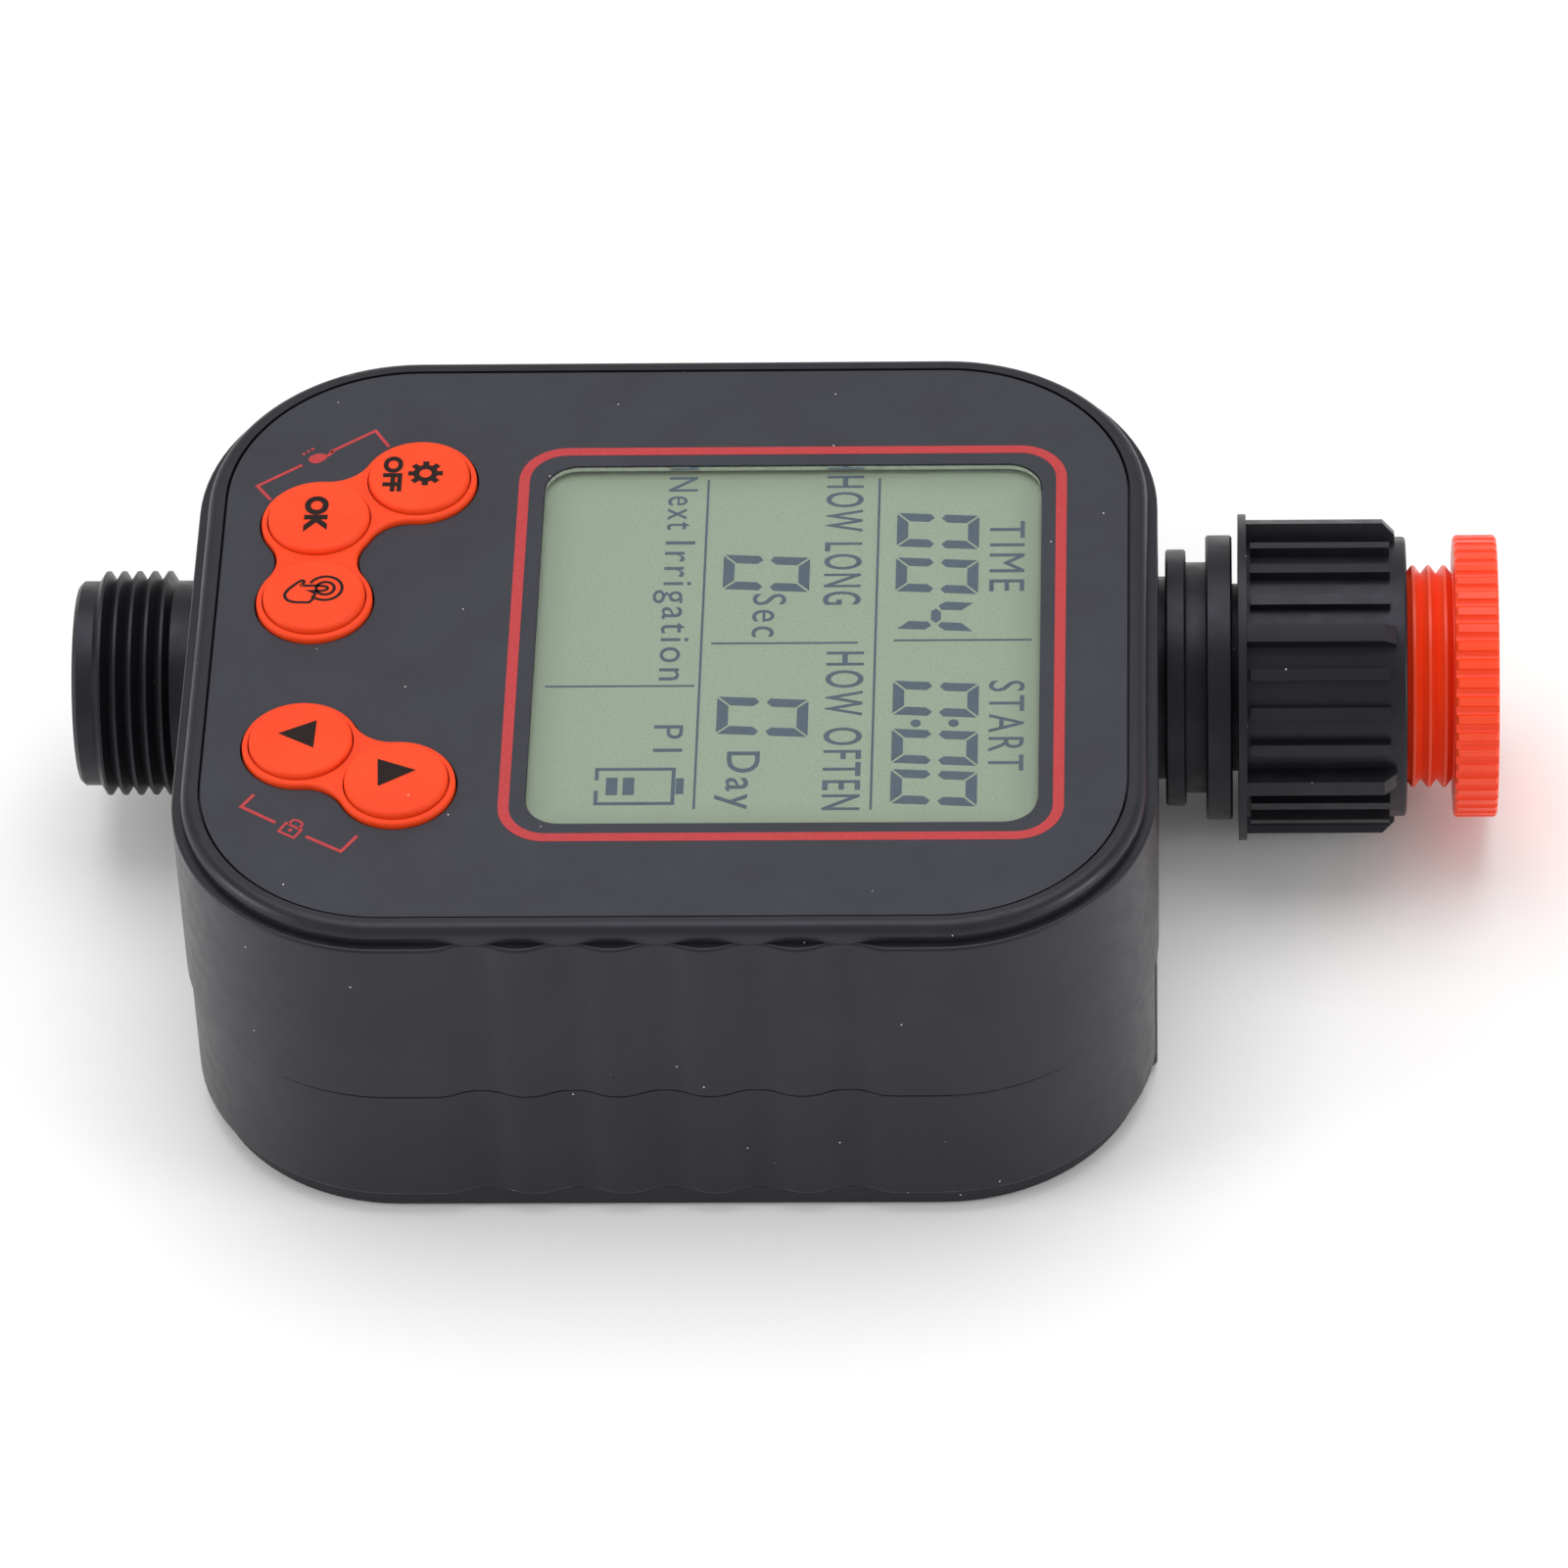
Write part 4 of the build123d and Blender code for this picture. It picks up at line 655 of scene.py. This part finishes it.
class TimerDisplaySettings(bpy.types.PropertyGroup):
    """Colours and strokes of the display."""

    lcd_shade: colour_property("Display shade", "#a4b89d", "Darker grain of the display")
    lcd_tint: colour_property("Display tint", "#b1c5aa", "Lighter grain of the display")
    # Painted shade: the display's tone near its borders, for the window frame's shadow.
    lcd_edge_shade: colour_property("Display edge", "#9bae91", "Tone of the display near its borders")
    segment_shade: colour_property("Segment shade", "#3f5a6e", "Darker tone of a lit segment")
    segment_tint: colour_property("Segment tint", "#476276", "Lighter tone of a lit segment")
    segment: bpy.props.FloatProperty(
        name="Segment", default=1.3 * MM, unit="LENGTH", description="Width of a figure's segment"
    )
    rule: bpy.props.FloatProperty(
        name="Rule", default=0.28 * MM, unit="LENGTH", description="Width of the dividing lines"
    )


class TimerKeySettings(bpy.types.PropertyGroup):
    """Colours of the keys."""

    rubber_shade: colour_property("Rubber shade", "#ec4214", "Darker tone of the key rubber")
    rubber_tint: colour_property("Rubber tint", "#f24a1b", "Lighter tone of the key rubber")
    ink: colour_property("Key ink", "#1a0d0a", "Ink of the marks on the keys")


class TimerPipeSettings(bpy.types.PropertyGroup):
    """Colours of the water way."""

    nylon_shade: colour_property("Nylon shade", "#121214", "Darker tone of the pipe and nut")
    nylon_tint: colour_property("Nylon tint", "#18181b", "Lighter tone of the pipe and nut")
    reducer_shade: colour_property("Reducer shade", "#f4441a", "Darker tone of the reducer")
    reducer_tint: colour_property("Reducer tint", "#fa4d23", "Lighter tone of the reducer")


class TimerStageSettings(bpy.types.PropertyGroup):
    """Studio round the timer."""

    floor: colour_property("Floor", "#fbfbfa", "Colour of the floor")
    sky: bpy.props.FloatProperty(
        name="Sky", default=0.68, min=0.0, description="Strength of the even studio light"
    )


# --- Operators ----------------------------------------------------------------------------------
class TimerFinishCase(bpy.types.Operator):
    """Finish the housing shells, the face plate and their seal and screws"""

    bl_idname = "timer.finish_case"
    bl_label = "Finish case"

    def execute(self, context):
        settings = context.scene.timer_case
        dress(spark_eroded_abs(settings), "front_shell", "back_shell", "battery_drawer")
        dress(screen_printed_overlay(settings), "face_plate")
        dress(seal_rubber(), "shell_seal", "drawer_seal")
        dress(
            plated_metal("zinc_plated_steel", "#a5a49c", "#c9c8c2", (0.28, 0.42), 0.8),
            "shell_screws", "board_screws", "gearbox_screws", "gear_pins", "motor_shaft",
            "battery_contacts", "battery_jumper", "nut_retaining_ring",
        )
        return {"FINISHED"}


class TimerPrintFace(bpy.types.Operator):
    """Print the red frame, the two brackets and their small signs on the face plate"""

    bl_idname = "timer.print_face"
    bl_label = "Print face"

    def execute(self, context):
        settings = context.scene.timer_print
        ink = printed_ink("red_screen_ink", settings.ink_shade, settings.ink_tint, 0.5)
        finished(self.display_frame(settings), "red_frame", ink, "housing")
        upper = self.bracket(
            settings, ((-47.33, 24.01), (-49.04, 26.41), (-44.02, 29.95)),
            ((-40.87, 32.15), (-35.74, 35.77), (-34.03, 32.99)), self.sprinkling_hand(),
        )
        finished(upper, "upper_bracket", ink, "housing")
        lower = self.bracket(
            settings, ((-46.15, -24.63), (-47.48, -26.58), (-43.45, -29.12)),
            ((-39.87, -31.36), (-35.79, -33.77), (-34.08, -31.29)), self.padlock(),
        )
        finished(lower, "lower_bracket", ink, "housing")
        return {"FINISHED"}

    def display_frame(self, settings):
        """Rounded line round the display: a plane, its corners bevelled, inset and thickened."""
        low, high = Vector(FRAME_LOW), Vector(FRAME_HIGH)
        middle = (low + high) / 2
        bpy.ops.object.select_all(action="DESELECT")
        place = Vector((middle.x, middle.y + FACE_Y, PLATE_TOP)) * MM
        bpy.ops.mesh.primitive_plane_add(size=1, location=place)
        plane = bpy.context.object
        plane.scale = ((high.x - low.x) * MM, (high.y - low.y) * MM, 1)
        bpy.ops.object.transform_apply(location=False, scale=True)
        bpy.ops.object.mode_set(mode="EDIT")
        bpy.ops.mesh.select_all(action="SELECT")
        bpy.ops.mesh.bevel(offset=settings.frame_corner, segments=10, affect="VERTICES")
        bpy.ops.mesh.inset(thickness=settings.frame_line)
        bpy.ops.mesh.delete(type="FACE")
        bpy.ops.mesh.select_all(action="SELECT")
        bpy.ops.mesh.extrude_region_move(TRANSFORM_OT_translate={"value": (0, 0, INK * MM)})
        bpy.ops.mesh.select_all(action="SELECT")
        bpy.ops.mesh.normals_make_consistent(inside=False)
        bpy.ops.object.mode_set(mode="OBJECT")
        return plane

    def bracket(self, settings, first, second, sign):
        """Two thin bent lines with a sign in the gap between them."""
        width = settings.bracket_line / MM
        marks = [flat_mark(stroke(path, width), PLATE_TOP) for path in (first, second)]
        return joined(marks + [flat_mark(outlines, PLATE_TOP) for outlines in sign])

    def sprinkling_hand(self):
        """A leaf-like hand with a short wrist and three small drops over it."""
        corners = [(1.5, 0.1), (0.5, 0.9), (-0.8, 0.7), (-1.1, -0.1), (-0.4, -0.8), (0.7, -0.6)]
        drop = softened(corners, True)
        stalk = [(1.2, 0.25), (2.1, 0.75), (2.2, 0.35), (1.4, -0.15)]
        dots = [circle((-1.2 + 0.6 * i, 1.35 + 0.22 * i), 0.2, 10) for i in range(3)]
        return [[placed(outline, HAND_SIGN, 20)] for outline in (drop, stalk, *dots)]

    def padlock(self):
        """A small open padlock drawn in line."""
        body = stroke([(-1.05, -1.1), (1.05, -1.1), (1.05, 0.4), (-1.05, 0.4)], 0.3, True)
        shackle = softened([(-0.7, 0.4), (-0.7, 1.4), (0.7, 1.4), (0.7, 0.4)])
        bow = stroke(shackle, 0.28)
        keyhole = circle((0, -0.3), 0.25, 10)
        marks = (body, bow, [keyhole])
        return [[placed(outline, PADLOCK_SIGN, -31.6) for outline in mark] for mark in marks]


class TimerBuildDisplay(bpy.types.Operator):
    """Finish the window and the display, and lay its figures, words and lines under the glass"""

    bl_idname = "timer.build_display"
    bl_label = "Build display"

    def execute(self, context):
        settings = context.scene.timer_display
        dress(clear_acrylic(), "display_window")
        dress(lcd_background(settings), "lcd_panel")
        dress(conductive_strip(), "contact_strips")
        ink = printed_ink("lcd_segment_film", settings.segment_shade, settings.segment_tint, 0.4)
        self.lay("lcd_figures", self.films([o] for o in self.figures(settings)), ink)
        self.lay("lcd_rules", self.films(self.rules(settings)), ink)
        self.lay("lcd_words", self.words(), ink)
        self.lay("lcd_battery_sign", self.films(self.battery_sign()), ink)
        return {"FINISHED"}

    def films(self, marks):
        """Marks lying on the display panel."""
        return [flat_mark(outlines, LCD_TOP, SEGMENT_FILM) for outlines in marks]

    def lay(self, name, marks, ink):
        """Join marks into one piece under the glass."""
        finished(joined(marks), name, ink, "housing")

    def figures(self, settings):
        """All lit segments: the time, the start time, how long and how often."""
        thick = settings.segment / MM
        time_row, start_row = (25.64, 35.17), (25.67, 35.46)
        outlines = []
        for y_range in ((16.6, 22.2), (9.1, 14.7)):
            outlines += segment_figure(time_row, y_range, thick)
        outlines += narrow_four((26.0, 34.6), (2.9, 7.6), thick)
        for y_range in ((-11.2, -5.74), (-19.0, -13.55), (-25.5, -20.05)):
            outlines += segment_figure(start_row, y_range, thick)
        outlines += [circle((28.35, -12.38), 0.6, 12), circle((32.66, -12.38), 0.6, 12)]
        outlines += segment_figure((5.7, 15.7), (9.6, 15.3), thick)
        outlines += segment_figure((5.67, 16.1), (-14.2, -8.2), thick)
        return outlines

    def rules(self, settings):
        """Dividing lines between the fields."""
        width = settings.rule / MM
        lines = (
            ((23.5, 28.4), (23.5, -26.2)), ((3.55, 28.3), (3.55, -26.0)),
            ((25.6, 1.2), (41.4, 1.2)), ((4.7, 0.85), (21.5, 0.85)), ((-14.1, -6.1), (3.0, -6.1)),
        )
        return [stroke(line, width) for line in lines]

    def words(self):
        """Field names under the glass, all plain working words."""
        thin, regular = 0.0, 0.03
        places = (
            ("TIME", (36.44, 40.46), (9.27, 21.0), thin),
            ("START", (36.6, 40.7), (-20.07, -5.54), thin),
            ("HOW LONG", (17.3, 21.7), (7.16, 28.87), regular),
            ("HOW OFTEN", (17.9, 22.3), (-26.27, -0.63), regular),
            ("Next", (-1.1, 2.3), (19.9, 28.79), thin),
            ("Irrigation", (-2.3, 2.3), (-5.17, 17.9), thin),
            ("P1", (-1.38, 1.94), (-16.81, -12.52), thin), ("Sec", (9.24, 13.1), (1.9, 9.0), thin),
            ("Day", (5.81, 10.78), (-26.07, -16.84), regular),
        )
        return [
            lettering(text, x_range, y_range, LCD_TOP, SEGMENT_FILM, weight, 1.2)
            for text, x_range, y_range, weight in places
        ]

    def battery_sign(self):
        """Battery outline with two full cells, open at its far end."""
        shell = [
            (-7.6, -21.3), (-7.6, -19.6), (1.1, -19.6), (1.1, -25.1), (-7.6, -25.1), (-7.6, -23.0),
        ]
        cells = [(-6.5, -23.7, -5.2, -20.95), (-4.6, -23.7, -3.3, -20.95), (1.4, -23.6, 2.3, -21.1)]
        marks = [stroke(shell, 0.45)]
        for low_x, low_y, high_x, high_y in cells:
            marks.append([[(low_x, low_y), (high_x, low_y), (high_x, high_y), (low_x, high_y)]])
        return marks


class TimerBuildKeys(bpy.types.Operator):
    """Finish the silicone keys and print their marks"""

    bl_idname = "timer.build_keys"
    bl_label = "Build keys"

    def execute(self, context):
        settings = context.scene.timer_key
        keys = ("key_off", "key_ok", "key_manual", "key_down", "key_up")
        dress(keypad_silicone(settings), "upper_keypad", "lower_keypad", *keys)
        ink = printed_ink("black_pad_ink", settings.ink, KEY_INK_TINT, 0.75)
        marks = {
            "key_off": [
                self.cog(), lettering("OFF", (-34.3, -32.0), (23.75, 29.7), KEY_TOP, INK, 0.26),
            ],
            "key_ok": [lettering("OK", (-43.1, -40.3), (17.0, 23.0), KEY_TOP, INK, 0.28)],
            "key_manual": [self.tapping_hand()],
            "key_down": [self.arrow((-43.82, -16.29), (-39.56, -14.22), (-39.70, -18.63))],
            "key_up": [self.arrow((-27.87, -22.32), (-32.29, -20.49), (-32.04, -24.87))],
        }
        for key, shapes in marks.items():
            finished(joined(shapes), key + "_mark", ink, key)
        return {"FINISHED"}

    def cog(self):
        """Settings wheel with eight teeth and an open middle."""
        teeth, root, tip, hole = 8, 1.45, 2.05, 0.72
        outline = []
        for tooth in range(teeth):
            for share, radius in ((-0.31, root), (-0.23, tip), (0.23, tip), (0.31, root)):
                turn = 2 * math.pi * (tooth + share) / teeth
                outline.append((radius * math.cos(turn), radius * math.sin(turn)))
        return flat_mark([placed(outline, COG_CENTRE), circle(COG_CENTRE, hole)], KEY_TOP)

    def arrow(self, *corners):
        """Solid triangle."""
        return flat_mark([corners], KEY_TOP)

    def tapping_hand(self):
        """Hand whose finger taps the middle of two rings."""
        tap = (1.45, 0.3)
        line = 0.36
        finger = softened([(-1.4, 0.75), (1.35, 0.75), (1.85, 0.3), (1.35, -0.15), (-0.2, -0.15)])
        knuckles = softened(
            [(-0.2, -0.15), (0.35, -0.5), (0.3, -0.9), (0.05, -1.05), (0.2, -1.4), (-0.3, -2.05)]
        )
        palm = softened(
            [
                (-0.3, -2.05), (-2.4, -2.0), (-3.2, -1.2), (-3.1, -0.2), (-1.9, 1.2),
                (-1.2, 1.75), (-1.0, 1.3), (-1.4, 0.75),
            ]
        )
        outer = [(x, y) for x, y in circle(tap, 1.95, 40) if x > 0.2 or y > 1.1]
        outer.sort(key=lambda p: math.atan2(p[1] - tap[1], p[0] - tap[0]))
        parts = (
            stroke(finger + knuckles[1:] + palm[1:], line),
            stroke(circle(tap, 1.05, 24), line, True), stroke(outer, line),
        )
        marks = [[placed(outline, TAP_SIGN) for outline in part] for part in parts]
        return joined([flat_mark(outlines, KEY_TOP) for outlines in marks])


class TimerFinishWaterway(bpy.types.Operator):
    """Finish the valve, the pipe ends, the swivel nut and the reducer"""

    bl_idname = "timer.finish_waterway"
    bl_label = "Finish water way"

    def execute(self, context):
        settings = context.scene.timer_pipe
        dress(glass_filled_nylon(settings), "valve_body", "inlet_spigot", "swivel_nut")
        dress(glossy_polypropylene(settings), "reducer_adapter")
        dress(seal_rubber(), "nut_washer", "socket_washer", "spigot_o_ring", "stem_o_rings")
        dress(woven_steel(), "filter_screen")
        dress(plated_metal("chromed_brass", "#b9bcc0", "#dfe1e4", (0.06, 0.12), 3.0), "valve_ball")
        dress(
            plated_metal("turned_brass", "#a5823f", "#c9a55a", (0.22, 0.34), 0.5),
            "valve_stem", "motor_pinion",
        )
        dress(natural_acetal(), "ball_seats")
        return {"FINISHED"}


class TimerFinishWorks(bpy.types.Operator):
    """Finish the circuit board, the gear train, the motor and the battery drawer"""

    bl_idname = "timer.finish_works"
    bl_label = "Finish works"

    def execute(self, context):
        dress(solder_mask(), "circuit_board")
        dress(natural_acetal(), "output_gear", "second_gear", "first_gear")
        dress(polycarbonate_frame(), "gearbox_plate", "gearbox_cover")
        dress(
            black_inner_abs(), "lcd_holder", "battery_sleeve", "board_sockets", "gearbox_pillars",
            "tact_switches", "board_chips", "buzzer",
        )
        dress(plated_metal("drawn_steel_can", "#8f9093", "#b5b6b8", (0.2, 0.34), 1.5), "motor")
        dress(
            plated_metal("etched_aluminium_can", "#a9abad", "#c8cacc", (0.3, 0.4), 1.0),
            "capacitors",
        )
        dress(battery_foil(), "batteries")
        return {"FINISHED"}


class TimerBuildStage(bpy.types.Operator):
    """Lay the pale floor, light it softly and set the camera"""

    bl_idname = "timer.build_stage"
    bl_label = "Build stage"

    def execute(self, context):
        settings = context.scene.timer_stage
        bpy.ops.object.select_all(action="DESELECT")
        bpy.ops.mesh.primitive_plane_add(size=6.0, location=(0, 0, -FLOOR_GAP * MM))
        floor = bpy.context.object
        floor.name = "floor"
        material, tree, shader, place = new_material("matte_paper_floor")
        tone = two_tone(
            tree, clouds(tree, place, 400.0), linear(settings.floor), linear("#ffffff")
        )
        tree.links.new(tone, shader.inputs["Base Color"])
        shader.inputs["Roughness"].default_value = 0.9
        floor.data.materials.append(material)
        world = bpy.data.worlds.new("studio")
        context.scene.world = world
        world.use_nodes = True
        sky = world.node_tree.nodes["Background"]
        sky.inputs["Color"].default_value = (1, 1, 1, 1)
        sky.inputs["Strength"].default_value = settings.sky
        self.soft_box("top_light", (0.0, 0.3, 1.3), 1.1, 8.0)
        self.soft_box("left_light", (-1.0, -0.3, 0.3), 0.45, 4.0)
        self.soft_box("right_light", (1.05, -0.35, 0.28), 0.45, 4.0)
        self.set_camera(context)
        context.scene.view_settings.view_transform = "Standard"
        return {"FINISHED"}

    def soft_box(self, name, place, size, power):
        """Square soft light that faces the timer."""
        light = bpy.data.lights.new(name, "AREA")
        light.shape = "SQUARE"
        light.size = size
        light.energy = power
        lamp = bpy.data.objects.new(name, light)
        bpy.context.scene.collection.objects.link(lamp)
        lamp.location = place
        lamp.rotation_mode = "QUATERNION"
        lamp.rotation_quaternion = (-Vector(place)).to_track_quat("-Z", "Y")

    def set_camera(self, context):
        """Long lens, looking down at the face from the grooved side."""
        azimuth, elevation, roll = (math.radians(a) for a in CAMERA_TURN)
        aim = Vector(CAMERA_AIM) * MM
        back = Vector(
            (
                -math.sin(azimuth) * math.cos(elevation),
                -math.cos(azimuth) * math.cos(elevation),
                math.sin(elevation),
            )
        )
        camera = bpy.data.objects.new("camera", bpy.data.cameras.new("camera"))
        context.scene.collection.objects.link(camera)
        camera.data.lens = CAMERA_LENS
        camera.data.sensor_width = CAMERA_SENSOR
        camera.data.clip_start = 0.05
        camera.data.clip_end = 50.0
        camera.location = aim + back * (CAMERA_DISTANCE * MM)
        camera.rotation_mode = "QUATERNION"
        camera.rotation_quaternion = (-back).to_track_quat("-Z", "Y") @ Quaternion((0, 0, 1), roll)
        context.scene.camera = camera


class TimerPanel(bpy.types.Panel):
    """Lists the steps that build the timer"""

    bl_idname = "VIEW3D_PT_timer"
    bl_label = "Drip irrigation timer"
    bl_space_type = "VIEW_3D"
    bl_region_type = "UI"
    bl_category = "Timer"

    def draw(self, context):
        for step in STEPS:
            self.layout.operator(step.bl_idname)


STEPS = (
    TimerFinishCase, TimerPrintFace, TimerBuildDisplay, TimerBuildKeys,
    TimerFinishWaterway, TimerFinishWorks, TimerBuildStage,
)
SETTINGS = {
    "timer_case": TimerCaseSettings,
    "timer_print": TimerPrintSettings,
    "timer_display": TimerDisplaySettings,
    "timer_key": TimerKeySettings,
    "timer_pipe": TimerPipeSettings,
    "timer_stage": TimerStageSettings,
}


def register():
    for name, group in SETTINGS.items():
        bpy.utils.register_class(group)
        setattr(bpy.types.Scene, name, bpy.props.PointerProperty(type=group))
    for step in (*STEPS, TimerPanel):
        bpy.utils.register_class(step)


def unregister():
    for step in (*STEPS, TimerPanel):
        bpy.utils.unregister_class(step)
    for name, group in SETTINGS.items():
        delattr(bpy.types.Scene, name)
        bpy.utils.unregister_class(group)


def main():
    register()
    bpy.ops.timer.finish_case()
    bpy.ops.timer.print_face()
    bpy.ops.timer.build_display()
    bpy.ops.timer.build_keys()
    bpy.ops.timer.finish_waterway()
    bpy.ops.timer.finish_works()
    bpy.ops.timer.build_stage()


if __name__ == "__main__":
    main()
